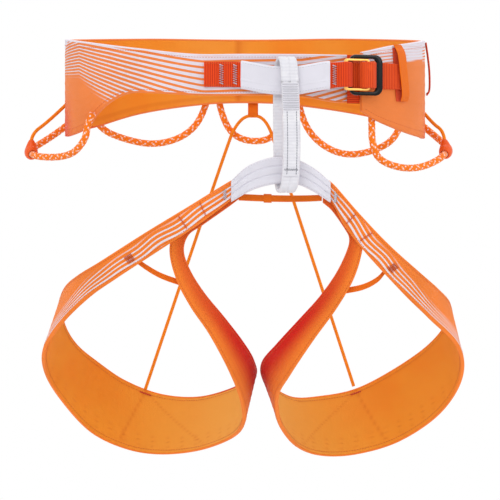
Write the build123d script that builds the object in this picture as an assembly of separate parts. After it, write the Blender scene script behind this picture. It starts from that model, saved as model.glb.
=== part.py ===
from build123d import *
import os
from math import asin, cos, degrees, pi, radians, sin, tan

# Climbing harness. Millimetres. +Z up, +X to the viewer's right, the front faces -Y.
# The origin is the centre of the waist opening, half way up the belt's front.

# ---- driving dimensions -------------------------------------------------------------
BELT_HALF_WIDTH = 154.5     # outer face of the belt, half across
BELT_HALF_DEPTH = 97.5      # outer face of the belt, half front to back
BELT_SQUARENESS = 2.4       # exponent of the superellipse that the belt follows in plan
TONGUE_TIP = -43.0          # angle round the belt of the left panel's hidden tip
TONGUE_START = -14.0        # angle where the tongue starts to dive under the right panel
TONGUE_DIVE = 7.4           # how far inward the tongue's tip lies
RIGHT_PANEL_END = 324.6     # angle round the belt of the right panel's front edge
SHELL = 1.0                 # outer laminated cloth of the belt
LAYER_GAP = 0.3             # room between layers
BELT_STRAND = 0.8           # thickness of a flat load strand
STRAND_HEIGHT = 1.9
BELT_LINER = 1.6
BELT_STRANDS = 9
LEG_SHELL = 0.9
LEG_STRAND = 0.6
LEG_LINER = 1.1
LEG_STRANDS = 7
BINDING = 1.2               # height of the edge bindings
WEBBING = 2.2               # thickness of the tie-in webbing and of the waist strap
WEBBING_TOP = 6.3
WEBBING_BOTTOM = -15.7
SLEEVE_WALL = 1.1
BELAY_WIDTH = 14.6
BELAY_THICK = 3.4
ROPE = 5.8                  # gear loop rope
TETHER = 3.0                # cord from a separator up to the belt
RISER = 2.5                 # cord from the belt's rear tab down to the leg loops
CLEAR = 0.4                 # room left between pieces that lie on each other
SAMPLES = 3                 # smooth points worked out between two stations of a band
RUN = 5                     # samples that one face of a band spans

os.makedirs("parts", exist_ok=True)


# ---- bands, cords and small helpers -------------------------------------------------
def save(name, *solids):
    """One node: its separate solids, written as one STEP file."""
    kept = [s for shape in solids for s in shape.solids()]
    export_step(Compound(children=kept) if len(kept) > 1 else kept[0], f"parts/{name}.step")


def smooth(rows, place, closed=False):
    """The point at place, counted in rows, on a smooth curve through the rows."""
    last = len(rows) - 1
    k = int(place) if closed else min(int(place), last - 1)
    f = place - k

    def row(i):
        if closed:
            return rows[i % len(rows)]
        if i < 0:
            return rows[0] * 2 - rows[1]
        return rows[last] * 2 - rows[last - 1] if i > last else rows[i]

    a, b, c, d = row(k - 1), row(k), row(k + 1), row(k + 2)
    return (b * 2 + (c - a) * f + (a * 2 - b * 5 + c * 4 - d) * f ** 2
            + (b * 3 - a - c * 3 + d) * f ** 3) * 0.5


class Band:
    """A flat band that follows two edges. Its outer face runs from edge to edge."""

    def __init__(self, stations, inward_sign=1, closed=False, samples=SAMPLES):
        tops = [Vector(*s[0]) for s in stations]
        bottoms = [Vector(*s[1]) for s in stations]
        turns = len(stations) if closed else len(stations) - 1
        count = turns * samples + (0 if closed else 1)
        places = [i / samples for i in range(count)]
        self.closed = closed
        self.top = [smooth(tops, p, closed) for p in places]
        low = [smooth(bottoms, p, closed) for p in places]
        self.width = [(b - t).length for t, b in zip(self.top, low)]
        self.down = [(b - t).normalized() for t, b in zip(self.top, low)]
        middle = [(t + b) * 0.5 for t, b in zip(self.top, low)]
        self.inward = []
        for i in range(count):
            after = middle[(i + 1) % count] if closed else middle[min(i + 1, count - 1)]
            before = middle[i - 1] if closed or i else middle[0]
            self.inward.append((after - before).cross(self.down[i]).normalized() * inward_sign)

    def part(self, first, last):
        """The stretch between two samples, as a band of its own."""
        other = Band.__new__(Band)
        other.closed = False
        for name in ("top", "width", "down", "inward"):
            setattr(other, name, getattr(self, name)[first:last])
        return other

    def point(self, i, share, extra, depth):
        return self.top[i] + self.down[i] * (share * self.width[i] + extra) + self.inward[i] * depth

    def strip(self, start, stop, near, far):
        """A solid from start to stop across the width, each as (share of the width, mm more),
        and from near to far mm inward of the outer face."""
        corners = ((start, near), (stop, near), (stop, far), (start, far))
        count = len(self.top)
        lines = [[self.point(i, *edge, depth) for i in range(count)] for edge, depth in corners]
        faces = []
        for first in range(0, count if self.closed else count - 1, RUN):
            last = min(first + RUN, count if self.closed else count - 1)
            rails = [self.rail(line, first, last) for line in lines]
            faces += [Face.make_surface_from_curves(rails[i], rails[(i + 1) % 4]) for i in range(4)]
        if not self.closed:
            for end in (0, -1):
                faces.append(Face(Wire.make_polygon([line[end] for line in lines], close=True)))
        return Solid(Shell(faces))

    def rail(self, line, first, last):
        """A smooth edge along one corner line, between two samples."""
        count = len(line)
        middle = [self.point(i, 0.5, 0, 0) for i in range(count)]

        def step(i):
            """The run from sample i to the next along the line, and its length along the middle."""
            a, b = i % count, (i + 1) % count
            return line[b] - line[a], (middle[b] - middle[a]).length

        def heading(i):
            if not self.closed and i in (0, count - 1):
                return step(0)[0] if i == 0 else step(count - 2)[0]
            (back, near), (ahead, far) = step(i - 1), step(i)
            return back * (far / near) + ahead * (near / far)

        points = [line[i % count] for i in range(first, last + 1)]
        lengths = [0.0]
        for i in range(first, last):
            lengths.append(lengths[-1] + step(i)[1])
        places = [length / lengths[-1] for length in lengths]
        return Edge.make_spline(points, tangents=[heading(first), heading(last)], parameters=places)

    def layer(self, near, far, inset=0.0):
        return self.strip((0, inset), (1, -inset), near, far)


def radii_of(points):
    """The radius at each inner point of a cord: 0.45 of the shorter run over tan of half the turn."""
    found = []
    for a, b, c in zip(points, points[1:], points[2:]):
        one, two = b - a, c - b
        half = radians(one.get_angle(two)) / 2
        found.append(0.45 * min(one.length, two.length) / tan(half))
    return found


def cord(name, route, diameter):
    """A round cord along straight runs joined by tangent arcs."""
    points = [Vector(*p) for p in route]
    radii = radii_of(points)
    path = FilletPolyline(*points, radius=radii)
    solid = sweep(Plane(origin=path @ 0, z_dir=path % 0) * Circle(diameter / 2), path=path)
    share = solid.volume / (pi * diameter ** 2 / 4 * path.length)
    print(name, "length", round(path.length, 1), "radii", [round(r, 1) for r in radii],
          "volume share", round(share, 4))
    return solid


def rod(start, end, radius):
    """A short round bar between two points."""
    a, b = Vector(*start), Vector(*end)
    return extrude(Plane(origin=a, z_dir=b - a) * Circle(radius), (b - a).length)


# ---- the belt's shape ---------------------------------------------------------------
# Heights of the belt's top and bottom edges, by angle round the belt: 0 is the front,
# 90 the left side, 180 the rear and 270 the right side.
TOP_HEIGHTS = [(-43, 11.7), (0, 11.7), (12, 11.8), (32, 17.3), (60, 24.5), (90, 29.6),
               (148, 35.2), (180, 35.1), (212, 35.2), (270, 28.6), (309, 20.6), (324.6, 14.2)]
BOTTOM_HEIGHTS = [(-43, -20), (-28, -26.5), (-12, -21.2), (10, -20.7), (26, -18.5), (35.4, -18.6),
                  (43.4, -25), (51.5, -36), (57, -46), (72, -51.8), (92, -51.6), (112, -45.5),
                  (126, -41), (148, -29), (168, -21.3), (180, -19.2), (193, -21.5), (228, -35),
                  (250, -46), (268, -53.4), (289, -53), (304, -49), (317, -41.6), (324.6, -33.6)]


def height(table, angle):
    """A smooth height between the table's angles."""
    k = max(i for i in range(len(table) - 1) if table[i][0] <= angle or i == 0)
    (a, low), (b, high) = table[k], table[k + 1]
    f = (angle - a) / (b - a)
    return low + (high - low) * (f * f * (3 - 2 * f))


def belt_plan(angle, out=0.0):
    """The belt's outer face in plan at an angle, out mm further out."""
    power = 2 / BELT_SQUARENESS

    def at(deg):
        s, c = sin(radians(deg)), cos(radians(deg))
        return Vector(-BELT_HALF_WIDTH * abs(s) ** power * (1 if s > 0 else -1),
                      -BELT_HALF_DEPTH * abs(c) ** power * (1 if c > 0 else -1))

    along = (at(angle + 0.5) - at(angle - 0.5)).normalized()
    outward = Vector(along.Y, -along.X)
    place = at(angle)
    if outward.dot(place) < 0:
        outward = outward * -1
    if angle < TONGUE_START:
        out -= TONGUE_DIVE * (TONGUE_START - angle) / (TONGUE_START - TONGUE_TIP)
    return place + outward * out


def on_belt(angle, z, out=0.0):
    place = belt_plan(angle, out)
    return (place.X, place.Y, z)


def angle_at(x, rear=False):
    """The angle round the belt at which its outer face is x to the side."""
    lean = degrees(asin((abs(x) / BELT_HALF_WIDTH) ** (BELT_SQUARENESS / 2)))
    if rear:
        return 180 - lean if x < 0 else 180 + lean
    return lean if x < 0 else 360 - lean


belt_angles = [TONGUE_TIP, -36, -29, -22, -14, -6, 2, 10, 18, 26, 35.4, 43.4, 51.5, 57, 64, 72,
               82, 92, 102, 112, 126, 137, 148, 158, 168, 180, 193, 204, 216, 228, 239, 250, 259,
               268, 279, 289, 297, 304, 311, 317, RIGHT_PANEL_END]
belt = Band([(on_belt(a, height(TOP_HEIGHTS, a)), on_belt(a, height(BOTTOM_HEIGHTS, a)))
             for a in belt_angles], inward_sign=-1, samples=1)

strand_depth = SHELL + LAYER_GAP
liner_depth = strand_depth + BELT_STRAND + LAYER_GAP
belt_thick = liner_depth + BELT_LINER


def edge_bindings(band, thick, name):
    """Thin folded tapes along a band's two edges."""
    save(f"{name}_top_binding", band.strip((0, -LAYER_GAP - BINDING), (0, -LAYER_GAP), 0, thick))
    save(f"{name}_bottom_binding", band.strip((1, LAYER_GAP), (1, LAYER_GAP + BINDING), 0, thick))


def strands(band, count, near, thick, tall):
    """Flat load strands spread evenly between the edges of a band."""
    shares = [(k + 1) / (count + 1) for k in range(count)]
    return [band.strip((s, -tall / 2), (s, tall / 2), near, near + thick) for s in shares]


save("waist_belt_shell", belt.layer(0, SHELL))
save("waist_belt_strands", *strands(belt, BELT_STRANDS, strand_depth, BELT_STRAND, STRAND_HEIGHT))
save("waist_belt_liner", belt.layer(liner_depth, belt_thick))
edge_bindings(belt, belt_thick, "waist_belt")


# ---- where the buckle sits ------------------------------------------------------------
BUCKLE_CENTRE = (99.8, -93.3, -4.7)
BUCKLE_TURN = 30.0                   # how far the buckle's face is turned from facing front
OUTER_FRAME = (33.0, 34.0)           # black frame, wide and tall
INNER_FRAME = (25.0, 26.6)           # gold frame inside it
BAR = 3.3                            # bars across the strap
SIDE_BAR = 2.0                       # bars above and below the strap in the inner frame


def in_buckle(along, out, z):
    """A point by its place across the buckle, its height off it and its height."""
    a = radians(BUCKLE_TURN)
    x, y, _ = BUCKLE_CENTRE
    return (x + along * cos(a) + out * sin(a), y + along * sin(a) - out * cos(a), z)


# ---- tie-in webbing and its sleeve -----------------------------------------------------
# Outer face of the webbing from its sewn left end to the buckle: (x, y, centre height).
WEBBING_ROUTE = [(-34, -99.4, -4.3), (-19, -99.9, -4.4), (-4, -102, -4.8), (7, -105.6, -6.8),
                 (18, -108.2, -9), (30, -108.7, -10), (43, -108.6, -9.8), (55, -107.6, -7.8),
                 (66, -106.4, -5.8), (75, -106, -5.2)]
# Then, by place across the buckle and height off it, over the inner frame's left bar.
WEBBING_FOLD = [(-22, 4.9), (-17.6, 5.4), (-14.3, 3.8), (-13.9, 0.6)]
web_half = (WEBBING_TOP - WEBBING_BOTTOM) / 2 - 0.5
web_centre = (WEBBING_TOP + WEBBING_BOTTOM) / 2
web_places = WEBBING_ROUTE + [in_buckle(along, out, web_centre) for along, out in WEBBING_FOLD]
webbing = Band([((x, y, z + web_half), (x, y, z - web_half)) for x, y, z in web_places])
sleeve_run = webbing.part(2 * SAMPLES, 8 * SAMPLES + 2)
sleeve_outside = -SLEEVE_WALL - LAYER_GAP
sleeve_inside = WEBBING + LAYER_GAP + SLEEVE_WALL


def sleeve(run, thick, wall, rim):
    """A flat cloth tube round a webbing that fills the band from 0 to thick."""
    outer = run.strip((0, -rim), (1, rim), -wall - LAYER_GAP, thick + LAYER_GAP + wall)
    hollow = run.strip((0, wall - rim), (1, rim - wall), -LAYER_GAP, thick + LAYER_GAP)
    return outer - hollow


save("tie_in_webbing", webbing.layer(0, WEBBING))
save("upper_tie_in_sleeve", sleeve(sleeve_run, WEBBING, SLEEVE_WALL, SLEEVE_WALL + LAYER_GAP))


def bar_tack(band, i, share, near, height_share=0.8, wide=1.9, proud=0.5):
    """A block of zigzag stitching across a webbing at sample i."""
    place = band.point(i, share, 0, near - proud / 2)
    down, inward = band.down[i], band.inward[i]
    plane = Plane(origin=place, x_dir=down.cross(inward), z_dir=down)
    return plane * Box(wide, proud, band.width[i] * height_share)


save("webbing_bar_tacks", *[bar_tack(webbing, i, 0.5, -0.05) for i in (2, 5, 27)])

# ---- belay loop ---------------------------------------------------------------------
# Outer face of the loop: (centre x, y, z), down the front, round the lower sleeve and up
# behind the upper one. The rear run lies further left than the front run.
BELAY_ROUTE = [(37.4, -114.4, -12), (38.4, -114.5, -38), (38.8, -114.3, -64), (38.2, -113.2, -86),
               (36.6, -110.4, -98.4), (34.5, -104.2, -103), (32.8, -97.4, -100.6), (31.6, -93.7, -90),
               (31, -93.6, -70), (30.8, -95.6, -46), (30.7, -98.4, -25), (31, -99.1, -8),
               (32, -99.8, 3.8), (33.6, -104.8, 9.4), (35.4, -110.8, 8.8), (36.6, -114.2, 1)]
half_belay = BELAY_WIDTH / 2
belay = Band([((x - half_belay, y, z), (x + half_belay, y, z)) for x, y, z in BELAY_ROUTE],
             inward_sign=-1, closed=True)
save("belay_loop_webbing", belay.layer(0, BELAY_THICK))
splice = belay.part(0, 3 * SAMPLES)
save("belay_loop_splice", splice.strip((0, 0.6), (1, -0.6), -1.1, -0.1))
save("belay_loop_stitching", *[splice.strip((share, -0.45), (share, 0.45), -1.5, -1.15)
                               for share in (0.27, 0.8)])

# ---- lower tie-in sleeve and the strap that links the leg loops -----------------------
HINGE_Y, HINGE_Z = -95.0, -101.0     # the leg loops swing about this line, along X
LEFT_END, RIGHT_END = -11.5, 71.5    # ends of the lower tie-in sleeve
ARCH = [((LEFT_END, -97, -92.5), (LEFT_END, -97, -110.5)), ((2, -99, -80.6), (5, -99, -101.2)),
        ((19, -102.6, -74), (20, -102.8, -96.6)), ((33, -104, -73.4), (34, -104, -95.2)),
        ((46, -103.2, -76), (46, -103.2, -96.8)), ((59, -100.4, -83), (57, -100.4, -101.8)),
        ((RIGHT_END, -97.5, -93.5), (RIGHT_END, -97.5, -111))]
arch = Band(ARCH)
arch.inward = [v * (1 if v.Y > 0 else -1) for v in arch.inward]
save("lower_tie_in_sleeve", arch.layer(0, SLEEVE_WALL), arch.layer(SLEEVE_WALL + 2.6, 2 * SLEEVE_WALL + 2.6))
save("lower_tie_in_webbing", arch.layer(SLEEVE_WALL + 0.2, SLEEVE_WALL + 2.4, inset=1.2))

LINK = [((-5, -89.5, -103.6), (-5, -89.5, -109.2)), ((14, -87, -104.4), (14, -87, -110)),
        ((33, -86, -104.8), (33, -86, -110.4)), ((50, -87, -104.8), (50, -87, -110.2)),
        ((64, -89.5, -104.4), (64, -89.5, -109.6))]
link = Band(LINK)
link.inward = [v * (1 if v.Y > 0 else -1) for v in link.inward]
save("leg_link_strap", link.layer(0, 1.8))
save("leg_link_tab", Pos(19.5, -88.2, -106.8) * Box(6.4, 1.6, 7.4))

# ---- leg loops ----------------------------------------------------------------------
# (top edge, bottom edge) of each loop's outer face, from the sleeve's end out round the
# thigh's outside and rear, and up the inside strap to the sleeve again.
LEG_START = 1.4                      # room between the sleeve's end and a leg loop
left_x, right_x = LEFT_END - LEG_START, RIGHT_END + LEG_START
LEFT_LEG = [
    ((left_x, -97, -94), (left_x, -97, -109.5)), ((-48, -96, -116), (-40, -97, -129)),
    ((-83, -88, -137), (-74, -90, -151)), ((-120, -68, -160), (-110, -73, -174)),
    ((-141, -45, -172), (-133, -60, -189)), ((-154, -15, -182), (-156, -40, -210)),
    ((-160, 10, -195), (-173, -7, -234)), ((-160, 35, -213), (-174, 30, -257)),
    ((-150, 58, -233), (-160, 53, -283)), ((-131, 75, -250), (-136, 69, -310)),
    ((-106, 84, -267), (-106, 78, -325)), ((-74, 86, -279), (-75, 79, -330)),
    ((-40, 76, -281), (-40, 68, -326)), ((-9, 50, -272), (-11, 42, -314)),
    ((9, 18, -260), (0, 12, -300)), ((8, -10, -246), (-1, -12, -281)),
    ((-1, -31, -230), (-10, -31, -257)), ((-17, -50, -209), (-28, -50, -223)),
    ((-34, -65, -188), (-44, -65, -199)), ((-46, -76, -169), (-56, -76, -176)),
    ((-52, -84, -152), (-62, -84, -152)), ((-48, -88, -138), (-57, -89, -133)),
    ((-36, -90.5, -129), (-42, -90.5, -119)), ((left_x, -91.5, -113), (left_x, -91.5, -102))]
RIGHT_LEG = [
    ((right_x, -97, -95.5), (right_x, -97, -111)), ((94, -96, -120), (84, -97, -130)),
    ((120, -86, -147), (105, -88, -156)), ((150, -50, -172), (136, -62, -187)),
    ((165, -22, -184), (157, -47, -206)), ((177, 4, -197), (184, -14, -233)),
    ((177, 30, -214), (188, 22, -262)), ((160, 54, -236), (170, 46, -293)),
    ((128, 77, -259), (136, 70, -318)), ((96, 86, -275), (98, 79, -330)),
    ((64, 85, -281), (66, 77, -331)), ((40, 68, -281), (44, 60, -322)),
    ((22, 40, -271), (30, 32, -304)), ((14, 12, -259), (26, 6, -288)),
    ((15, -12, -246), (27, -14, -273)), ((27, -36, -231), (37, -36, -256)),
    ((46, -54, -210), (57, -54, -226)), ((63, -67, -191), (75, -67, -201)),
    ((77, -78, -171), (89, -78, -177)), ((86, -84, -152), (96, -84, -156)),
    ((88, -88, -141), (97, -89, -140)), ((84, -90.5, -132), (91, -90.5, -125)),
    ((right_x, -91.5, -117), (right_x, -91.5, -106))]
BRIDGES = {"left": [(-94, -78.4, -156), (-80, -76.6, -167), (-67, -73.6, -174.5), (-51, -69.2, -176)],
           "right": [(117, -71, -167), (109, -72, -177), (97, -72, -183.5), (83, -68.6, -183)]}
TACK_PLACES = ((1, 0.5, 0.7), (5, 0.74, 0.4))     # sample, share of the width, share that it covers
leg_strand_depth = LEG_SHELL + LAYER_GAP
leg_liner_depth = leg_strand_depth + LEG_STRAND + LAYER_GAP
leg_thick = leg_liner_depth + LEG_LINER
BRIDGE_WIDTH = 5.0


def leg_loop(side, stations):
    """All the layers of one leg loop, its elastic bridge and its stitched blocks."""
    band = Band(stations, inward_sign=-1 if side == "left" else 1, samples=2)
    save(f"{side}_leg_shell", band.layer(0, LEG_SHELL))
    save(f"{side}_leg_strands",
         *strands(band, LEG_STRANDS, leg_strand_depth, LEG_STRAND, 0.9))
    save(f"{side}_leg_liner", band.layer(leg_liner_depth, leg_thick))
    edge_bindings(band, leg_thick, f"{side}_leg")
    half = BRIDGE_WIDTH / 2
    elastic = Band([((x, y, z + half), (x, y, z - half)) for x, y, z in BRIDGES[side]])
    save(f"{side}_leg_bridge_elastic", elastic.layer(0, 1.3))
    save(f"{side}_leg_bar_tacks",
         *[bar_tack(band, i, share, -0.3, tall, 2.4) for i, share, tall in TACK_PLACES])
    return band


left_band = leg_loop("left", LEFT_LEG)
right_band = leg_loop("right", RIGHT_LEG)

# ---- cords: riser, gear loops and haul loop --------------------------------------------
REAR_TAB = (7.0, 100.8, -24.0)        # middle of the small sewn tab that holds the riser
RISER_ROUTE = [(-87, 84.4, -270), (-15, 97.4, -54), (-8, 99.6, -39.5), (0.5, 100.8, -31), (13.5, 100.8, -31),
               (21.5, 99.4, -41), (27, 97.6, -58), (95, 84.4, -268)]
save("riser_cord", cord("riser_cord", RISER_ROUTE, RISER))
tab_plane = Pos(REAR_TAB[0], REAR_TAB[1], REAR_TAB[2])
tab_height, tab_hole = 17.0, RISER + 2 * CLEAR
save("rear_tab", tab_plane * (Box(9, 5, tab_height) - Pos(0, 0, -7.0) * Box(20, tab_hole, 3.8)))

socket_out = ROPE / 2 + CLEAR


def rope_end(angle, z, out=socket_out + 0.4):
    return on_belt(angle, z, out)


REAR_LEFT, REAR_RIGHT = angle_at(-33, rear=True), angle_at(46, rear=True)
HAUL_LEFT, HAUL_RIGHT = angle_at(-24, rear=True), angle_at(37, rear=True)
SIDE_LEFT, SIDE_RIGHT = 108.0, 252.0
AFT_LEFT, AFT_RIGHT = 124.5, 238.0
EDGE_LEFT, EDGE_RIGHT = 49.5, angle_at(112)
GEAR_LOOPS = {
    "front_left": [on_belt(EDGE_LEFT, -41.9, -2.2), (-129.5, -62, -56), (-150, -42, -73), (-193, 4, -69),
                   (-164, 42, -49), rope_end(SIDE_LEFT, -39)],
    "front_right": [on_belt(EDGE_RIGHT, -46.9, -2.2), (109, -77, -60), (115, -67, -77), (146, -38, -83.5),
                    (179, 2, -66), (162, 40, -48), rope_end(SIDE_RIGHT, -40)],
    "rear_left": [rope_end(AFT_LEFT, -32), (-128, 70, -44), (-106, 84, -53), (-80, 95.4, -57.6),
                  (-54, 102.4, -50), (-38, 103, -33), rope_end(REAR_LEFT, -15)],
    "rear_right": [rope_end(AFT_RIGHT, -34), (135, 64, -50), (116, 76, -63), (88, 92.4, -67.4),
                   (64, 102, -55), (50, 103, -34), rope_end(REAR_RIGHT, -14)],
    "haul": [rope_end(HAUL_LEFT, -13), (-20.5, 103, -35), (-6, 106, -53), (22, 106, -54),
             (33.5, 103, -36), rope_end(HAUL_RIGHT, -13)]}
for name, route in GEAR_LOOPS.items():
    node = "haul_loop_rope" if name == "haul" else f"gear_rope_{name}"
    save(node, cord(node, route, ROPE))

SOCKET_LENGTH = 11.0
socket_places = [(SIDE_LEFT, -39), (SIDE_RIGHT, -40), (AFT_LEFT, -32), (AFT_RIGHT, -34), (REAR_LEFT, -15),
                 (REAR_RIGHT, -14), (HAUL_LEFT, -13), (HAUL_RIGHT, -13)]
socket_lift = ROPE / 2 + 0.5
save("gear_loop_sockets", *[rod(on_belt(a, z + socket_lift, socket_out + 0.4),
                                on_belt(a, z + socket_lift + SOCKET_LENGTH, socket_out + 0.4), socket_out)
                            for a, z in socket_places])

# ---- gear separators and their tethers -------------------------------------------------
BEAD_RADIUS, BEAD_TURN = 6.4, 26.0   # round bead on the rope, and the angle it covers
BEAD_CORNER = {"left": ("front_left", 3), "right": ("front_right", 4)}
TETHERS = {"left": [on_belt(84, -27, 2.6), (-170, 9, -39), (-181.2, 4.6, -47), (-182.6, 3.4, -57)],
           "right": [on_belt(277, -33, 2.6), (162, 9.6, -41.5), (170.4, 6, -48.4), (171.8, 4.6, -57)]}


def rope_arc(route, corner):
    """Centre, axis and radius of the rope's arc at one corner, and the way to its middle."""
    a, b, c = (Vector(*p) for p in route[corner - 1:corner + 2])
    back, ahead = (a - b).normalized(), (c - b).normalized()
    radius = radii_of([a, b, c])[0]
    half = radians(back.get_angle(ahead)) / 2
    middle = (back + ahead).normalized()
    return b + middle * (radius / sin(half)), back.cross(ahead).normalized(), radius, middle * -1


def separator(side):
    """A moulded bead that slides along the rope's arc."""
    loop, corner = BEAD_CORNER[side]
    centre, axis, radius, toward = rope_arc(GEAR_LOOPS[loop], corner)
    section = Plane(origin=centre, x_dir=toward, z_dir=axis.cross(toward) * -1)
    ring = section * (Pos(radius, 0) * (Circle(BEAD_RADIUS) - Circle(ROPE / 2 + CLEAR)))
    bead = revolve(ring, Axis(centre, axis), BEAD_TURN)
    return bead.rotate(Axis(centre, axis), -BEAD_TURN / 2)


for side in ("left", "right"):
    save(f"gear_separator_{side}", separator(side))
    save(f"separator_tether_{side}", cord(f"separator_tether_{side}", TETHERS[side], TETHER))

# ---- double-back buckle and the waist strap ---------------------------------------------
buckle_plane = Plane(origin=BUCKLE_CENTRE, x_dir=(cos(radians(BUCKLE_TURN)), sin(radians(BUCKLE_TURN)), 0),
                     z_dir=(sin(radians(BUCKLE_TURN)), -cos(radians(BUCKLE_TURN)), 0))
wide, tall = OUTER_FRAME
right_bar = 6.4
outer_window = Pos((BAR - right_bar) / 2, 0) * RectangleRounded(wide - BAR - right_bar, tall - 2 * BAR, 2.2)
outer_frame = extrude(RectangleRounded(wide, tall, 5.5) - outer_window, 2.6)
save("buckle_outer_frame", buckle_plane * Pos(2.2, 0, -3.4) * outer_frame)
wide_in, tall_in = INNER_FRAME
inner_window = RectangleRounded(wide_in - 2 * BAR, tall_in - 2 * SIDE_BAR, 0.6)
inner_frame = extrude(RectangleRounded(wide_in, tall_in, 3.0) - inner_window, 2.8)
save("buckle_inner_frame", buckle_plane * Pos(-8.2, 0, -0.3) * inner_frame)

# The strap rolls over the inner frame's right bar, passes under the outer frame's wide bar
# and lies on the belt as far as the keepers.
STRAP_ROLL = [(-5.2, -2.4), (-4.8, 1.6), (-1.8, 5.2), (5.0, 5.6), (9.6, 3.2), (10.6, -2.0), (12.6, -5.0),
              (16.6, -6.0)]
STRAP_ANGLES = [315.5, 309, 303.6]
strap_rows = [(in_buckle(a, n, WEBBING_TOP), in_buckle(a, n, WEBBING_BOTTOM)) for a, n in STRAP_ROLL]
strap_rows += [(on_belt(a, WEBBING_TOP, CLEAR + WEBBING), on_belt(a, WEBBING_BOTTOM, CLEAR + WEBBING))
               for a in STRAP_ANGLES]
strap = Band(strap_rows, inward_sign=1)
save("waist_strap", strap.layer(0, WEBBING))


def keeper(angles, heights, outs, wide_mm, thick=1.1):
    """An elastic tape that runs down the belt and stands off it over the strap."""
    rows = []
    for a, z, out in zip(angles, heights, outs):
        middle = belt_plan(a, out + CLEAR + thick)
        along = (belt_plan(a + 0.5) - belt_plan(a - 0.5)).normalized() * (wide_mm / 2)
        rows.append(((middle.X + along.X, middle.Y + along.Y, z), (middle.X - along.X, middle.Y - along.Y, z)))
    return Band(rows, inward_sign=1).layer(0, thick)


over_strap = WEBBING + CLEAR
save("strap_keeper_front", keeper([307.6, 306.4, 305, 304, 303.4], [21.5, 13, -5, -19, -25],
                                  [0, over_strap, over_strap + 0.2, over_strap, 0], 9.0))
save("strap_keeper_side", keeper([268, 268, 268, 268, 268], [28, 16, 2, -12, -17], [0, 1.2, 2.6, 2.4, 0.6], 9.0))
behind = angle_at(91.5) - 360
save("buckle_backing_tape", keeper([behind] * 5, [12.5, 4, -6, -18, -28], [0, 0.2, 0.3, 0.2, 0], 12.0, 1.2))
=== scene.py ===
from math import asin, cos, degrees, exp, pi, radians, sin

import bmesh
import bpy
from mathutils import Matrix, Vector


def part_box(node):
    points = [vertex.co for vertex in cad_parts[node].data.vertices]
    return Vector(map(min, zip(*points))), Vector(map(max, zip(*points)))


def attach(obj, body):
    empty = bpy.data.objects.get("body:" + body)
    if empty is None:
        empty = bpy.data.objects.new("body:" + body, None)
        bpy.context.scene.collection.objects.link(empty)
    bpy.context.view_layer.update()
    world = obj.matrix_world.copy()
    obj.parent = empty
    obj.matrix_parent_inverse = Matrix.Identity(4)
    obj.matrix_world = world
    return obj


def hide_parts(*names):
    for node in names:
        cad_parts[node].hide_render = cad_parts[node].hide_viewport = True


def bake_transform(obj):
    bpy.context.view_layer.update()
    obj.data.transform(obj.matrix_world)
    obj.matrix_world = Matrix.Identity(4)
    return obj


# Climbing harness. Shapes are worked out in millimetres and built in metres, in the CAD frame:
# +Z up, +X to the viewer's right, the front faces -Y.
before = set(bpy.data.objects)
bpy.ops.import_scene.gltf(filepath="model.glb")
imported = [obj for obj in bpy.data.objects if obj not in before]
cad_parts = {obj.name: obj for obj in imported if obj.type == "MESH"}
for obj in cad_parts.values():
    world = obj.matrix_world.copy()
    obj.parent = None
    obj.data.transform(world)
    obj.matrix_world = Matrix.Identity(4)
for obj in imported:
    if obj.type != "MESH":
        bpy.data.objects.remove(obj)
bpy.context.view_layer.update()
MM = 0.001

# ---- driving dimensions, as in the CAD --------------------------------------------------
BELT_HALF_WIDTH = 154.5
BELT_HALF_DEPTH = 97.5
BELT_SQUARENESS = 2.4
TONGUE_TIP, TONGUE_START, TONGUE_DIVE = -43.0, -14.0, 7.4
RIGHT_PANEL_END = 324.6
BELT_SHELL, BELT_THICK = 1.0, 4.0
LEG_SHELL, LEG_THICK, LEG_STRANDS = 0.9, 3.2, 7
WEBBING, SLEEVE_WALL = 2.2, 1.1
WEBBING_TOP, WEBBING_BOTTOM = 6.3, -15.7
BELAY_WIDTH, BELAY_THICK = 14.6, 3.4
ROPE, TETHER, RISER = 5.8, 3.0, 2.5
GAP = 0.3                            # between two layers
CLEAR = 0.4                          # between pieces that lie on each other


# ---- curves and bands ---------------------------------------------------------------------
def ease(f):
    f = min(1.0, max(0.0, f))
    return f * f * (3 - 2 * f)


def between(table, x):
    """The value at x, from a table of (x, value)."""
    if x <= table[0][0]:
        return table[0][1]
    for (a, low), (b, high) in zip(table, table[1:]):
        if x <= b:
            f = (x - a) / (b - a)
            return low + (high - low) * f
    return table[-1][1]


def flowing(table, x):
    """The value at x on a smooth curve through a table of (x, value)."""
    k = min(max(i for i in range(len(table)) if table[i][0] <= x or i == 0), len(table) - 2)
    (a, low), (b, high) = table[k], table[k + 1]
    f = min(1.0, max(0.0, (x - a) / (b - a)))

    def slope(i):
        before, after = table[max(i - 1, 0)], table[min(i + 1, len(table) - 1)]
        return (after[1] - before[1]) / (after[0] - before[0]) * (b - a)

    start, end = slope(k), slope(k + 1)
    return (low * (2 * f ** 3 - 3 * f ** 2 + 1) + high * (3 * f ** 2 - 2 * f ** 3)
            + start * (f ** 3 - 2 * f ** 2 + f) + end * (f ** 3 - f ** 2))


def on_curve(rows, place, closed=False):
    """The point at place, counted in rows, on a smooth curve through the rows."""
    last = len(rows) - 1
    k = int(place) if closed else min(int(place), last - 1)
    f = place - k

    def row(i):
        if closed:
            return rows[i % len(rows)]
        if i < 0:
            return rows[0] * 2 - rows[1]
        return rows[last] * 2 - rows[last - 1] if i > last else rows[i]

    a, b, c, d = row(k - 1), row(k), row(k + 1), row(k + 2)
    return (b * 2 + (c - a) * f + (a * 2 - b * 5 + c * 4 - d) * f ** 2
            + (b * 3 - a - c * 3 + d) * f ** 3) * 0.5


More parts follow.
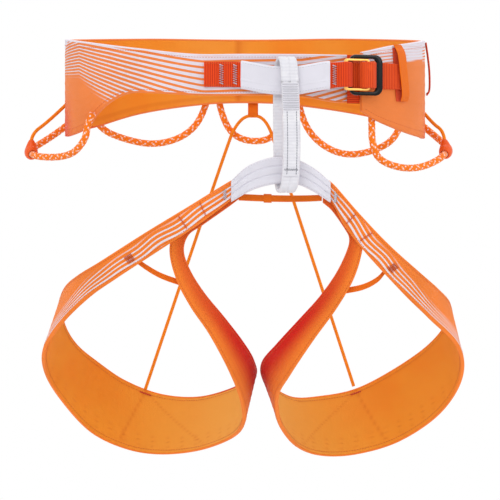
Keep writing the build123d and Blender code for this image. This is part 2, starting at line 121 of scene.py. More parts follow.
class Band:
    """A ribbon that follows two edges. Its outer face runs from edge to edge."""

    def __init__(self, tops, bottoms, inward_sign=1, closed=False):
        count = len(tops)
        self.closed, self.top = closed, tops
        self.width = [(b - t).length for t, b in zip(tops, bottoms)]
        self.down = [(b - t).normalized() for t, b in zip(tops, bottoms)]
        middle = [(t + b) * 0.5 for t, b in zip(tops, bottoms)]
        self.inward, self.along = [], [0.0]
        for i in range(count):
            after = middle[(i + 1) % count] if closed else middle[min(i + 1, count - 1)]
            before = middle[i - 1] if closed or i else middle[0]
            self.inward.append((after - before).cross(self.down[i]).normalized() * inward_sign)
        for a, b in zip(middle, middle[1:]):
            self.along.append(self.along[-1] + (b - a).length)

    @classmethod
    def through(cls, stations, samples, inward_sign=1, closed=False):
        """A smooth band through stations of (top edge, bottom edge)."""
        tops, bottoms = ([Vector(s[k]) for s in stations] for k in (0, 1))
        turns = len(stations) if closed else len(stations) - 1
        places = [i / samples for i in range(turns * samples + (0 if closed else 1))]
        return cls([on_curve(tops, p, closed) for p in places],
                   [on_curve(bottoms, p, closed) for p in places], inward_sign, closed)

    def part(self, start, stop):
        """The stretch between two lengths along the band."""
        kept = [i for i, u in enumerate(self.along) if start <= u <= stop]
        other = Band.__new__(Band)
        other.closed = False
        for name in ("top", "width", "down", "inward", "along"):
            setattr(other, name, [getattr(self, name)[i] for i in kept])
        return other

    def point(self, i, share, more, depth):
        return self.top[i] + self.down[i] * (share * self.width[i] + more) + self.inward[i] * depth

    def spot(self, u, share, depth, more=0.0):
        """A point u along the band."""
        k = 0
        while k < len(self.along) - 2 and self.along[k + 1] < u:
            k += 1
        f = (u - self.along[k]) / (self.along[k + 1] - self.along[k])
        return self.point(k, share, more, depth).lerp(self.point(k + 1, share, more, depth), f)


def slab(near, far, across, rim=0.0, steps=3, round_rim=None):
    """A flat cross-section with rounded rims: (share of the width, mm more, depth, side)."""
    half = (far - near) / 2
    bow = half if round_rim is None else round_rim
    centre = (near + far) / 2
    found = []
    for side in (-1, 1):
        for k in range(across + 1):
            share = k / across if side < 0 else 1 - k / across
            found.append((share, (rim - bow) * (2 * share - 1), centre + side * half, side))
        for k in range(1, steps + 1):
            turn = pi * k / (steps + 1)
            share = 1 if side < 0 else 0
            push = (rim - bow + bow * sin(turn)) * (1 if share else -1)
            found.append((share, push, centre + side * half * cos(turn), 0))
    return found


def skin(name, rings, material, marks, closed=False, sharp=50):
    """A mesh through rings of points. marks holds named values for every point."""
    count, around = len(rings), len(rings[0])
    faces = []
    for i in range(count if closed else count - 1):
        a, b = i * around, (i + 1) % count * around
        faces += [(a + j, a + (j + 1) % around, b + (j + 1) % around, b + j) for j in range(around)]
    if not closed:
        faces.append(tuple(range(around)))
        faces.append(tuple((count - 1) * around + j for j in range(around)))
    return solid(name, [p for ring in rings for p in ring], faces, material, marks, sharp)


def solid(name, points, faces, material, marks=(), sharp=50):
    mesh = bpy.data.meshes.new(name)
    mesh.from_pydata([p * MM for p in points], [], faces)
    for title, values in dict(marks).items():
        if isinstance(values[0], tuple):
            attribute = mesh.attributes.new(title, "FLOAT_VECTOR", "POINT")
            attribute.data.foreach_set("vector", [x for value in values for x in value])
        else:
            mesh.attributes.new(title, "FLOAT", "POINT").data.foreach_set("value", values)
    work = bmesh.new()
    work.from_mesh(mesh)
    bmesh.ops.recalc_face_normals(work, faces=work.faces)
    work.to_mesh(mesh)
    work.free()
    mesh.shade_smooth()
    mesh.set_sharp_from_angle(angle=radians(sharp))
    mesh.materials.append(material)
    piece = bpy.data.objects.new(name, mesh)
    bpy.context.scene.collection.objects.link(piece)
    return piece


def ribbon(name, band, section, material, lift=None, marks=None, hollow=None):
    """A piece that has the same section all along a band. lift(u, share, side) moves the faces
    inward, marks are functions of the same, and hollow is a second section inside the first."""
    rings, values = [], {title: [] for title in ["band", *(marks or {})]}
    order = [(i, section) for i in range(len(band.top))]
    if hollow:
        order += [(i, hollow) for i in reversed(range(len(band.top)))]
    for i, profile in order:
        u, ring = band.along[i], []
        for share, more, depth, side in profile:
            if lift and side and profile is section:
                depth += lift(u, share, side)
            ring.append(band.point(i, share, more, depth))
            values["band"].append((u * MM, (share * band.width[i] + more) * MM, share))
            for title, work in (marks or {}).items():
                values[title].append(work(u, share, side))
        rings.append(ring)
    return skin(name, rings, material, values, closed=band.closed or bool(hollow))


def frames(line):
    """A steady pair of directions across a line at each of its points."""
    found, side = [], None
    for i, here in enumerate(line):
        ahead = (line[min(i + 1, len(line) - 1)] - line[max(i - 1, 0)]).normalized()
        if side is None:
            side = ahead.orthogonal().normalized()
        side = (side - ahead * side.dot(ahead)).normalized()
        found.append((side, ahead.cross(side)))
    return found


def tube(name, line, radius, material, sides=24, relief=None, marks=None):
    """A round cord along a line. relief(u, turn) raises its surface."""
    rings, around, u = [], [], 0.0
    extra = {title: [] for title in marks or {}}
    for i, (here, (a, b)) in enumerate(zip(line, frames(line))):
        u += (here - line[i - 1]).length if i else 0
        ring = []
        for j in range(sides):
            turn = j / sides
            c, s = cos(2 * pi * turn), sin(2 * pi * turn)
            r = radius(u) if callable(radius) else radius
            r += relief(u, turn) if relief else 0
            ring.append(here + (a * c + b * s) * r)
            around.append((c, s, u * MM))
            for title, work in (marks or {}).items():
                extra[title].append(work(u, here))
        rings.append(ring)
    return skin(name, rings, material, {"around": around, **extra})


def threads(name, lines, radius, material, sides=6):
    """Many short threads as one piece."""
    points, faces = [], []
    for line in lines:
        base = len(points)
        for here, (a, b) in zip(line, frames(line)):
            points += [here + (a * cos(2 * pi * j / sides) + b * sin(2 * pi * j / sides)) * radius
                       for j in range(sides)]
        for i in range(len(line) - 1):
            low, high = base + i * sides, base + (i + 1) * sides
            faces += [(low + j, low + (j + 1) % sides, high + (j + 1) % sides, high + j)
                      for j in range(sides)]
        faces.append(tuple(base + j for j in range(sides)))
        faces.append(tuple(base + (len(line) - 1) * sides + j for j in range(sides)))
    return solid(name, points, faces, material)


def stitches(band, start, stop, share, depth, pitch=2.4, length=1.7, out=-1, more=0.0, proud=0.22):
    """Lines for a row of stitches along a band, each a low hump."""
    found, u = [], start
    while u + length < stop:
        found.append([band.spot(u + length * k / 4, share, depth + out * proud * sin(pi * k / 4), more)
                      for k in range(5)])
        u += pitch
    return found


def zigzag(band, u, low, high, depth, wide=1.9, pitch=0.75, out=-1):
    """The line of a bar tack across a band, from share low to share high."""
    k = min(range(len(band.along)), key=lambda i: abs(band.along[i] - u))
    count = int((high - low) * band.width[k] / pitch)
    return [band.spot(u + (wide / 2 if n % 2 else -wide / 2), low + (high - low) * n / count,
                      depth + out * 0.25) for n in range(count + 1)]


def centre_line(name, route, pitch=0.7):
    """Even points on the smooth NURBS line that the route's points control."""
    curve = bpy.data.curves.new(name, "CURVE")
    curve.dimensions = "3D"
    spline = curve.splines.new("NURBS")
    spline.points.add(len(route) - 1)
    for point, place in zip(spline.points, route):
        point.co = (*place, 1)
    spline.order_u = 3
    spline.use_endpoint_u = True
    spline.resolution_u = 40
    holder = bpy.data.objects.new(name, curve)
    mesh = bpy.data.meshes.new_from_object(holder)
    fine = [v.co.copy() for v in mesh.vertices]
    bpy.data.objects.remove(holder)
    bpy.data.meshes.remove(mesh)
    bpy.data.curves.remove(curve)
    found, ahead = [fine[0]], pitch
    for a, b in zip(fine, fine[1:]):
        run = (b - a).length
        while ahead <= run:
            found.append(a.lerp(b, ahead / run))
            ahead += pitch
        ahead -= run
    return found


# ---- materials ------------------------------------------------------------------------------
def tone(red, green, blue):
    """A colour from its screen values."""
    return tuple((c / 255) ** 2.2 for c in (red, green, blue)) + (1.0,)


class Look:
    """A material, with short calls for its nodes."""

    def __init__(self, name, roughness=0.8, **shader):
        self.made = bpy.data.materials.new(name)
        self.made.use_nodes = True
        self.nodes, self.links = self.made.node_tree.nodes, self.made.node_tree.links
        self.shader = self.nodes["Principled BSDF"]
        self.shader.inputs["Roughness"].default_value = roughness
        self.shader.inputs["Specular IOR Level"].default_value = 0.2
        for title, value in shader.items():
            self.shader.inputs[title.replace("_", " ")].default_value = value

    def put(self, value, socket):
        if isinstance(value, bpy.types.NodeSocket):
            self.links.new(value, socket)
        else:
            socket.default_value = value

    def math(self, operation, a, b=0.0, c=0.0):
        node = self.nodes.new("ShaderNodeMath")
        node.operation = operation
        for value, socket in zip((a, b, c), node.inputs):
            self.put(value, socket)
        return node.outputs[0]

    def read(self, title):
        """The three numbers of a point's named value."""
        node = self.nodes.new("ShaderNodeAttribute")
        node.attribute_name = title
        split = self.nodes.new("ShaderNodeSeparateXYZ")
        self.links.new(node.outputs["Vector"], split.inputs[0])
        return split.outputs

    def number(self, title):
        node = self.nodes.new("ShaderNodeAttribute")
        node.attribute_name = title
        return node.outputs["Fac"]

    def noise(self, scale, detail=3.0, stretch=(1, 1, 1)):
        place = self.nodes.new("ShaderNodeTexCoord")
        sizing = self.nodes.new("ShaderNodeMapping")
        sizing.inputs["Scale"].default_value = stretch
        node = self.nodes.new("ShaderNodeTexNoise")
        node.inputs["Scale"].default_value = scale
        node.inputs["Detail"].default_value = detail
        self.links.new(place.outputs["Object"], sizing.inputs["Vector"])
        self.links.new(sizing.outputs["Vector"], node.inputs["Vector"])
        return node.outputs["Fac"]

    def fade(self, value, zero, one):
        """0 where value is at zero, 1 where it is at one, and smooth between."""
        node = self.nodes.new("ShaderNodeMapRange")
        node.interpolation_type = "SMOOTHSTEP"
        self.put(value, node.inputs["Value"])
        self.put(zero, node.inputs["From Min"])
        self.put(one, node.inputs["From Max"])
        return node.outputs["Result"]

    def mix(self, share, a, b):
        node = self.nodes.new("ShaderNodeMix")
        node.data_type = "RGBA"
        self.put(share, node.inputs[0])
        self.put(a, node.inputs[6])
        self.put(b, node.inputs[7])
        return node.outputs[2]

    def wave(self, value, pitch):
        """0 to 1 and back once in each pitch."""
        turn = self.math("SINE", self.math("MULTIPLY", value, 2 * pi / pitch))
        return self.math("MULTIPLY_ADD", turn, 0.5, 0.5)

    def weave(self, u, v, pitch):
        """The height of a fine weave, with its threads along u and v."""
        over = self.math("SINE", self.math("MULTIPLY", u, pi / pitch))
        under = self.math("SINE", self.math("MULTIPLY", v, pi / pitch))
        return self.math("ABSOLUTE", self.math("MULTIPLY", over, under))

    def done(self, colour, height=None, distance=0.0002, roughness=None):
        self.put(colour, self.shader.inputs["Base Color"])
        if roughness is not None:
            self.put(roughness, self.shader.inputs["Roughness"])
        if height is not None:
            node = self.nodes.new("ShaderNodeBump")
            node.inputs["Distance"].default_value = distance
            self.put(height, node.inputs["Height"])
            self.links.new(node.outputs["Normal"], self.shader.inputs["Normal"])
        return self.made


def striped_cloth(name, base, painted_shading_colour, white):
    """Coated cloth with woven stripes. stripe is (place among the stripes, white share, strength),
    and the painted-shading value is how far the cloth turns to its painted-shading colour, which paints sheen and shade
    into it."""
    look = Look(name, 0.62, Sheen_Weight=0.05, Sheen_Roughness=0.5)
    u, v, _ = look.read("band")
    place, share, strength = look.read("stripe")
    blotch = look.noise(28, 3)
    ground = look.mix(look.fade(blotch, 0.25, 0.8), base, tuple(c * 0.9 for c in base[:3]) + (1,))
    # Painted sheen and painted shade: the cloth turns towards its painted-shading colour.
    ground = look.mix(look.number("painted_shading"), ground, painted_shading_colour)
    off = look.math("ABSOLUTE", look.math("SUBTRACT", look.math("FRACT", place), 0.5))
    off = look.math("MULTIPLY", off, 2.0)
    line = look.fade(off, look.math("ADD", share, 0.08), look.math("SUBTRACT", share, 0.08))
    line = look.math("MULTIPLY", line, strength)
    threads_high = look.weave(u, v, 0.00055)
    # Painted shade: the cloth is darker in the hollows of its weave.
    shade = look.math("MULTIPLY_ADD", threads_high, 0.16, 0.84)
    pale = look.mix(look.fade(blotch, 0.2, 0.9), white, tuple(c * 0.93 for c in white[:3]) + (1,))
    colour = look.mix(line, ground, pale)
    colour = look.mix(shade, tone(190, 84, 30), colour)
    height = look.math("ADD", threads_high, look.math("MULTIPLY", line, 1.2))
    return look.done(colour, height, 0.00016)


def lining_cloth():
    """Soft perforated lining. A painted-light value makes it lighter, and seam is how near a pressed seam is."""
    look = Look("lining", 0.85, Sheen_Weight=0.05, Sheen_Roughness=0.6)
    u, v, _ = look.read("band")
    blotch = look.noise(22, 4)
    ground = look.mix(look.fade(blotch, 0.3, 0.75), tone(255, 152, 42), tone(255, 140, 34))
    # Painted light: lighter where the painted-light value is high.
    ground = look.mix(look.number("painted_shading"), ground, tone(255, 176, 76))
    ground = look.mix(look.number("seam"), ground, tone(216, 88, 12))
    dots = look.weave(u, v, 0.0012)
    # Painted shade: darker in the hollows between the raised cells of the lining.
    shade = look.math("MULTIPLY_ADD", dots, 0.1, 0.9)
    colour = look.mix(shade, tone(224, 100, 10), ground)
    return look.done(colour, look.math("ADD", dots, look.weave(u, v, 0.0004)), 0.00018)


def ribbed_webbing(name, base, painted_groove_shade, pitch, roughness=0.6, cross=True):
    """Webbing with ribs across it, or along it, and fine yarns the other way."""
    look = Look(name, roughness, Sheen_Weight=0.05, Sheen_Roughness=0.5)
    u, v, _ = look.read("band")
    ribs = look.wave(u if cross else v, pitch)
    yarns = look.wave(v if cross else u, 0.0007)
    worn = look.noise(60, 4)
    # Painted shade: the grooves between the ribs and between the yarns are darker.
    colour = look.mix(look.fade(ribs, 0.0, 0.75), painted_groove_shade, base)
    colour = look.mix(look.math("MULTIPLY", yarns, 0.14), colour, painted_groove_shade)
    lighter = tuple(min(1.0, c * 1.25) for c in base[:3]) + (1,)
    colour = look.mix(look.fade(worn, 0.55, 0.9), colour, lighter)
    height = look.math("ADD", ribs, look.math("MULTIPLY", yarns, 0.3))
    return look.done(colour, height, 0.0003)


def plain_cloth(name, base, painted_hollow_shade, pitch=0.0006, roughness=0.8):
    """A tightly woven cloth."""
    look = Look(name, roughness, Sheen_Weight=0.1, Sheen_Roughness=0.5)
    u, v, _ = look.read("band")
    weave = look.weave(u, v, pitch)
    blotch = look.noise(40, 4)
    colour = look.mix(look.fade(blotch, 0.2, 0.85), base, tuple(c * 0.92 for c in base[:3]) + (1,))
    # Painted shade: darker in the hollows of the weave.
    colour = look.mix(look.math("MULTIPLY_ADD", weave, 0.2, 0.8), painted_hollow_shade, colour)
    return look.done(colour, weave, 0.0002)


def braid(name, base, painted_hollow_shade, tracers, yarns, pitch):
    """A braided sheath: two families of yarns cross in diamonds, and some of them are coloured."""
    look = Look(name, 0.7, Sheen_Weight=0.05, Sheen_Roughness=0.5)
    c, s, u = look.read("around")
    turn = look.math("MULTIPLY", look.math("ARCTAN2", s, c), yarns / (2 * pi))
    along = look.math("DIVIDE", u, pitch)
    one, two = look.math("ADD", along, turn), look.math("SUBTRACT", along, turn)
    first, second = look.math("FLOOR", one), look.math("FLOOR", two)
    inside = [look.math("SINE", look.math("MULTIPLY", look.math("FRACT", x), pi)) for x in (one, two)]
    height = look.math("MULTIPLY", inside[0], inside[1])
    blotch = look.noise(90, 2)
    colour = look.mix(look.fade(blotch, 0.3, 0.8), base, tuple(c * 0.88 for c in base[:3]) + (1,))
    upper = look.math("FLOORED_MODULO", look.math("ADD", first, second), 2.0)
    for family, every, shift, shade in tracers:
        count = look.math("ADD", first if family == 1 else second, shift)
        chosen = look.math("COMPARE", look.math("FLOORED_MODULO", count, every), 0.0, 0.1)
        level = upper if family == 1 else look.math("SUBTRACT", 1.0, upper)
        colour = look.mix(look.math("MULTIPLY", chosen, level), colour, shade)
    colour = look.mix(look.number("pale"), colour, tone(247, 190, 160))
    # Painted shade: darker between the yarns.
    colour = look.mix(look.fade(height, 0.0, 0.35), painted_hollow_shade, colour)
    return look.done(colour, height, 0.0003)


def plastic(name, base, roughness=0.42):
    look = Look(name, roughness, Coat_Weight=0.15, Coat_Roughness=0.3)
    grain = look.noise(900, 2)
    blotch = look.noise(60, 3)
    colour = look.mix(look.fade(blotch, 0.2, 0.9), base, tuple(c * 0.8 for c in base[:3]) + (1,))
    return look.done(colour, grain, 0.00004)


def anodised(name, base, roughness, worn):
    """Anodised aluminium with fine lines and a little wear."""
    look = Look(name, roughness, Metallic=0.85, Coat_Weight=0.4, Coat_Roughness=0.15)
    lines = look.noise(240, 5, (1, 1, 14))
    patches = look.noise(45, 4)
    colour = look.mix(look.fade(patches, 0.6, 0.85), base, worn)
    rough = look.math("MULTIPLY_ADD", lines, 0.22, roughness - 0.08)
    return look.done(colour, lines, 0.00003, rough)


def yarn(name, base):
    look = Look(name, 0.65, Sheen_Weight=0.3)
    twist = look.noise(1400, 2)
    colour = look.mix(twist, base, tuple(c * 0.55 for c in base[:3]) + (1,))
    return look.done(colour, twist, 0.00008)


WHITE = tone(232, 229, 240)
# The second colour of each striped cloth is painted: pinkish red for painted sheen on the belt, deep red for painted
# shade on the legs.
belt_cloth = striped_cloth("belt_laminate", tone(246, 134, 66), tone(226, 50, 50), WHITE)
leg_cloth = striped_cloth("leg_laminate", tone(252, 132, 44), tone(208, 14, 4), tone(238, 234, 242))
lining = lining_cloth()
# The second colour of each ribbed webbing, and of the strand fibre, is painted shade for its grooves.
red_webbing = ribbed_webbing("red_webbing", tone(236, 78, 20), tone(180, 34, 6), 0.0015)
strap_webbing = ribbed_webbing("strap_webbing", tone(236, 88, 28), tone(188, 46, 10), 0.0017)
white_webbing = ribbed_webbing("white_webbing", tone(238, 237, 242), tone(212, 211, 220), 0.0012)
elastic = ribbed_webbing("orange_elastic", tone(250, 124, 20), tone(222, 92, 8), 0.0009, cross=False)
# The second colour of each plain cloth is painted shade for its weave hollows.
sleeve_cloth = plain_cloth("white_cloth", tone(233, 231, 240), tone(190, 188, 204))
plain_edge = plain_cloth("end_tape", tone(248, 130, 54), tone(232, 104, 32), 0.0005)
tape = plain_cloth("edge_tape", tone(252, 128, 34), tone(222, 90, 14), 0.0005)
red_tape = plain_cloth("red_edge_tape", tone(224, 74, 30), tone(170, 38, 14), 0.0005)
strand = ribbed_webbing("strand_fibre", tone(228, 224, 236), tone(180, 176, 196), 0.0009)
# The second colour of each braid is painted shade between its yarns.
gear_rope = braid("tracer_rope", tone(252, 130, 24), tone(232, 96, 10),
                  [(1, 3.0, 0.0, tone(246, 214, 206)), (2, 4.0, 1.0, tone(250, 184, 140))], 8, 0.0026)
thin_cord = braid("orange_cord", tone(252, 138, 16), tone(242, 120, 10),
                  [(1, 4.0, 0.0, tone(254, 152, 40))], 8, 0.0016)
bead_plastic = plastic("moulded_orange", tone(230, 88, 26))
black_metal = anodised("black_anodised", tone(10, 11, 13), 0.22, tone(30, 31, 36))
gold_metal = anodised("gold_anodised", tone(250, 188, 96), 0.3, tone(240, 160, 70))
crease_thread = yarn("crease_thread", tone(226, 92, 22))
grey_thread = yarn("grey_thread", tone(206, 204, 216))
dark_thread = yarn("dark_thread", tone(120, 122, 134))
white_thread = yarn("white_thread", tone(214, 212, 222))
orange_thread = yarn("orange_thread", tone(226, 96, 24))
red_thread = yarn("red_thread", tone(206, 46, 24))

# ---- camera, light and floor ----------------------------------------------------------------
CAMERA_AWAY, VIEW_WIDE = 3.0, 0.430
camera_data = bpy.data.cameras.new("camera")
camera_data.sensor_width = 36
camera_data.lens = 36 * CAMERA_AWAY / VIEW_WIDE
camera_data.clip_end = 20
camera = bpy.data.objects.new("camera", camera_data)
camera.location = (0.0043, -CAMERA_AWAY, -0.1505)
camera.rotation_euler = (radians(90), 0, 0)
bpy.context.scene.collection.objects.link(camera)
bpy.context.scene.camera = camera
bpy.context.scene.view_settings.view_transform = "Standard"

world = bpy.data.worlds.new("studio")
world.use_nodes = True
world.node_tree.nodes["Background"].inputs["Color"].default_value = (1, 1, 1, 1)
world.node_tree.nodes["Background"].inputs["Strength"].default_value = 1.0
bpy.context.scene.world = world


def area_light(name, place, size, power):
    data = bpy.data.lights.new(name, "AREA")
    data.size, data.energy = size, power
    lamp = bpy.data.objects.new(name, data)
    lamp.location = place
    lamp.rotation_euler = (Vector((0, 0, -0.15)) - Vector(place)).to_track_quat("-Z", "Y").to_euler()
    bpy.context.scene.collection.objects.link(lamp)


area_light("key", (-0.8, -1.6, 1.1), 0.9, 9)
area_light("side", (1.4, -0.7, 0.5), 0.8, 4)
area_light("top", (0.1, 0.5, 1.5), 1.0, 5)

floor_half, floor_height = 600.0, -450.0
floor_look = Look("floor", 0.9)
floor_paint = floor_look.done(floor_look.mix(floor_look.noise(6, 2), tone(240, 240, 240), tone(236, 236, 238)))
floor = solid("floor", [Vector((x * floor_half, y * floor_half, floor_height))
                        for x, y in ((-1, -1), (1, -1), (1, 1), (-1, 1))], [(0, 1, 2, 3)], floor_paint)

# ---- the belt's shape -------------------------------------------------------------------------
TOP_HEIGHTS = [(-43, 11.7), (0, 11.7), (12, 11.8), (32, 17.3), (60, 24.5), (90, 29.6),
               (148, 35.2), (180, 35.1), (212, 35.2), (270, 28.6), (309, 20.6), (324.6, 14.2)]
BOTTOM_HEIGHTS = [(-43, -20), (-28, -26.5), (-12, -21.2), (10, -20.7), (26, -18.5), (35.4, -18.6),
                  (43.4, -25), (51.5, -36), (57, -46), (72, -51.8), (92, -51.6), (112, -45.5),
                  (126, -41), (148, -29), (168, -21.3), (180, -19.2), (193, -21.5), (228, -35),
                  (250, -46), (268, -53.4), (289, -53), (304, -49), (317, -41.6), (324.6, -33.6)]


def belt_plan(angle, out=0.0):
    """The belt's outer face in plan at an angle, out mm further out."""
    power = 2 / BELT_SQUARENESS

    def at(deg):
        s, c = sin(radians(deg)), cos(radians(deg))
        return Vector((-BELT_HALF_WIDTH * abs(s) ** power * (1 if s > 0 else -1),
                       -BELT_HALF_DEPTH * abs(c) ** power * (1 if c > 0 else -1), 0))

    along = (at(angle + 0.5) - at(angle - 0.5)).normalized()
    outward = Vector((along.y, -along.x, 0))
    place = at(angle)
    if outward.dot(place) < 0:
        outward = -outward
    if angle < TONGUE_START:
        out -= TONGUE_DIVE * (TONGUE_START - angle) / (TONGUE_START - TONGUE_TIP)
    return place + outward * out


def on_belt(angle, z, out=0.0):
    place = belt_plan(angle, out)
    return Vector((place.x, place.y, z))


def angle_at(x, rear=False):
    """The angle round the belt at which its outer face is x to the side."""
    lean = degrees(asin((abs(x) / BELT_HALF_WIDTH) ** (BELT_SQUARENESS / 2)))
    if rear:
        return 180 - lean if x < 0 else 180 + lean
    return lean if x < 0 else 360 - lean


BELT_STEPS = 368                      # one step a degree
belt_angles = [TONGUE_TIP + (RIGHT_PANEL_END - TONGUE_TIP) * k / BELT_STEPS for k in range(BELT_STEPS + 1)]
belt = Band([on_belt(a, flowing(TOP_HEIGHTS, a)) for a in belt_angles],
            [on_belt(a, flowing(BOTTOM_HEIGHTS, a)) for a in belt_angles], inward_sign=-1)
belt_turn = list(zip(belt.along, belt_angles))


def belt_stretch(first, last):
    """The part of the belt between two angles."""
    lengths = [u for u, a in belt_turn if first <= a <= last]
    return belt.part(lengths[0], lengths[-1])


# The stripes fan out from the hips to the front. By angle: distance between two stripes, the
# number of the stripe at the top edge, the white share of each, and the last stripe that shows.
STRIPE_PITCH = [(-43, 3.6), (-14, 5.0), (9.5, 5.15), (31.5, 4.1), (43.9, 3.6), (62.7, 2.75), (90, 2.1),
                (150, 3.4), (230, 3.4), (290, 2.4), (324.6, 2.9)]
STRIPE_FIRST = [(-43, 2.6), (-14, 0.3), (9.5, 0.07), (31.5, 0.85), (43.9, 1.4), (62.7, 1.8), (90, -2.4),
                (150, 0.0), (230, 0.0), (290, -2.0), (324.6, 0.3)]
STRIPE_WHITE = [(-43, 0.45), (9.5, 0.62), (31.5, 0.44), (43.9, 0.35), (62.7, 0.32), (90, 0.3), (150, 0.4),
                (230, 0.4), (290, 0.6), (324.6, 0.72)]
STRIPE_LAST = [(-43, 30), (20, 30), (43.9, 14.8), (62.7, 11.6), (90, 11.5), (150, 6), (230, 6),
               (290, 4.0), (304, 4.6), (324.6, 6.2)]


def belt_stripe(u, share, side):
    angle = between(belt_turn, u)
    depth = share * (flowing(TOP_HEIGHTS, angle) - flowing(BOTTOM_HEIGHTS, angle))
    place = depth / between(STRIPE_PITCH, angle) + between(STRIPE_FIRST, angle)
    white = between(STRIPE_WHITE, angle)
    plain_top = 0.6 + 3.6 * ease((angle - 76) / 13) * (1 - ease((angle - 98) / 20))
    if place < plain_top:
        white = white + (1.2 - white) * ease((plain_top - place) / 1.5)
    last = between(STRIPE_LAST, angle)
    strength = 1 - ease((place - last + 1.5) / 3)
    if 150 > angle > 100:
        strength *= 0.8
    if 283 < angle < 303:
        white, strength = 0.95, 1 - ease((depth - 13.5) / 0.8)
    return place, white, strength


def belt_painted_sheen(u, share, side):
    """Painted sheen: redder round the left hip's lower corner and at the right hip."""
    angle = between(belt_turn, u)
    left = ease((angle - 66) / 16) * (1 - ease((angle - 110) / 30)) * ease((share - 0.45) / 0.5)
    right = ease((286 - angle) / 14) * (1 - ease((240 - angle) / 30)) * ease((share - 0.5) / 0.5)
    return max(0.75 * left, 0.5 * right)


def belt_ridges(u, share, side):
    """The shell lifts a little over each strand inside it."""
    return -0.22 * max(0.0, sin(pi * share * 20 - pi / 2)) if side < 0 else 0.0


def soft_dents(u, share, side):
    """The lining is pressed flat unevenly."""
    return 0.35 * sin(u / 17 + 4 * share) * sin(pi * share) + 0.2 * sin(u / 6.1) * sin(2 * pi * share)


def none(u, share, side):
    return 0.0


shell = ribbon("belt_shell", belt, slab(0, BELT_SHELL, 60), belt_cloth, belt_ridges,
               {"stripe": belt_stripe, "painted_shading": belt_painted_sheen})
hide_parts("waist_belt_shell")


# Painted light: two lighter pools on the lining at the back of the belt.
def belt_lining_painted_light(u, share, side):
    angle = between(belt_turn, u)
    return 0.45 * exp(-((angle - 172) / 12) ** 2) + 0.25 * exp(-((angle - 205) / 9) ** 2)


def belt_seams(u, share, side):
    angle = between(belt_turn, u)
    return 0.5 * exp(-((angle - 179) / 0.6) ** 2) + 0.35 * exp(-((share - 0.93) / 0.02) ** 2)


liner = ribbon("belt_lining", belt, slab(BELT_THICK - 1.6, BELT_THICK, 36), lining,
               lambda u, share, side: soft_dents(u, share, side) * 0.6 if side > 0 else 0.0,
               {"painted_shading": belt_lining_painted_light, "seam": belt_seams})
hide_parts("waist_belt_liner")
belt_pieces = [shell, liner]


def bound_edges(name, band, thick, node, material, marks=None):
    """The folded tapes along a band's two edges."""
    made = []
    for end, share, way in (("top", 0, -1), ("bottom", 1, 1)):
        section = []
        for k in range(20):
            turn = 2 * pi * k / 20
            across = 0.1 + 1.0 * cos(turn)
            bulge = abs(sin(turn)) ** 0.6 * (1 if sin(turn) > 0 else -1)
            section.append((share, way * across, thick / 2 + (thick / 2 + 0.12) * bulge, 0))
        piece = ribbon(f"{name}_{end}_tape", band, section, material, marks=marks)
        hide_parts(f"{node}_{end}_binding")
        made.append(piece)
    return made


def edge_stripe(u, share, side):
    """The top tape is white at the front, and both are plain behind."""
    angle = between(belt_turn, u)
    front = max(1 - ease((angle - 84) / 6), ease((angle - 270) / 4))
    return 0.0, 1.2, front * (share < 0.5)


belt_pieces += bound_edges("belt", belt, BELT_THICK, "waist_belt", belt_cloth,
                           {"stripe": edge_stripe, "painted_shading": belt_painted_sheen})


def end_tape(name, band, u):
    """The tape folded over the end of a band, which closes its layers in."""
    ahead = (band.spot(u + 1, 0.5, 0) - band.spot(u - 1, 0.5, 0)).normalized()
    rings = []
    for k in range(41):
        share = k / 40
        middle = band.spot(u, share, BELT_THICK / 2)
        inward = (band.spot(u, share, BELT_THICK) - band.spot(u, share, 0)).normalized()
        rings.append([middle + ahead * (1.1 * cos(2 * pi * j / 20)) + inward * (
            (BELT_THICK / 2 + 0.15) * sin(2 * pi * j / 20)) for j in range(20)])
    return skin(name, rings, plain_edge, {"band": [(0.001 * j / 10, 0.001 * k, 0) for k in range(41) for j in range(20)]})


belt_pieces += [end_tape("belt_end_tape_outer", belt, belt.along[-1] - 0.6),
                end_tape("belt_end_tape_inner", belt, 0.6)]

# ---- buckle frame of reference ------------------------------------------------------------------
BUCKLE_CENTRE = Vector((99.8, -93.3, -4.7))
BUCKLE_TURN = radians(30)
buckle_along = Vector((cos(BUCKLE_TURN), sin(BUCKLE_TURN), 0))
buckle_out = Vector((sin(BUCKLE_TURN), -cos(BUCKLE_TURN), 0))


def in_buckle(along, out, z):
    """A point by its place across the buckle, its height off it and its height."""
    place = BUCKLE_CENTRE + buckle_along * along + buckle_out * out
    return Vector((place.x, place.y, z))


# ---- tie-in webbing, its sleeve and its bar tacks -------------------------------------------------
WEBBING_ROUTE = [(-34, -99.4, -4.3), (-19, -99.9, -4.4), (-4, -102, -4.8), (7, -105.6, -6.8),
                 (18, -108.2, -9), (30, -108.7, -10), (43, -108.6, -9.8), (55, -107.6, -7.8),
                 (66, -106.4, -5.8), (75, -106, -5.2)]
WEBBING_FOLD = [(-22, 4.9), (-17.6, 5.4), (-14.3, 3.8), (-13.9, 0.6)]
web_half = (WEBBING_TOP - WEBBING_BOTTOM) / 2 - 0.5
web_middle = (WEBBING_TOP + WEBBING_BOTTOM) / 2
web_places = [Vector(p) for p in WEBBING_ROUTE] + [in_buckle(a, n, web_middle) for a, n in WEBBING_FOLD]
up = Vector((0, 0, 1))
web_stations = [(p + up * web_half, p - up * web_half) for p in web_places]
webbing = Band.through(web_stations, 26)


def ribs(pitch, height):
    """Real ribs across a webbing."""
    return lambda u, share, side: side * height * 0.5 * (1 + cos(2 * pi * u / pitch))


web_piece = ribbon("tie_in_webbing", webbing, slab(0, WEBBING, 12), red_webbing, ribs(1.5, 0.14))
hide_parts("tie_in_webbing")
belt_pieces.append(web_piece)

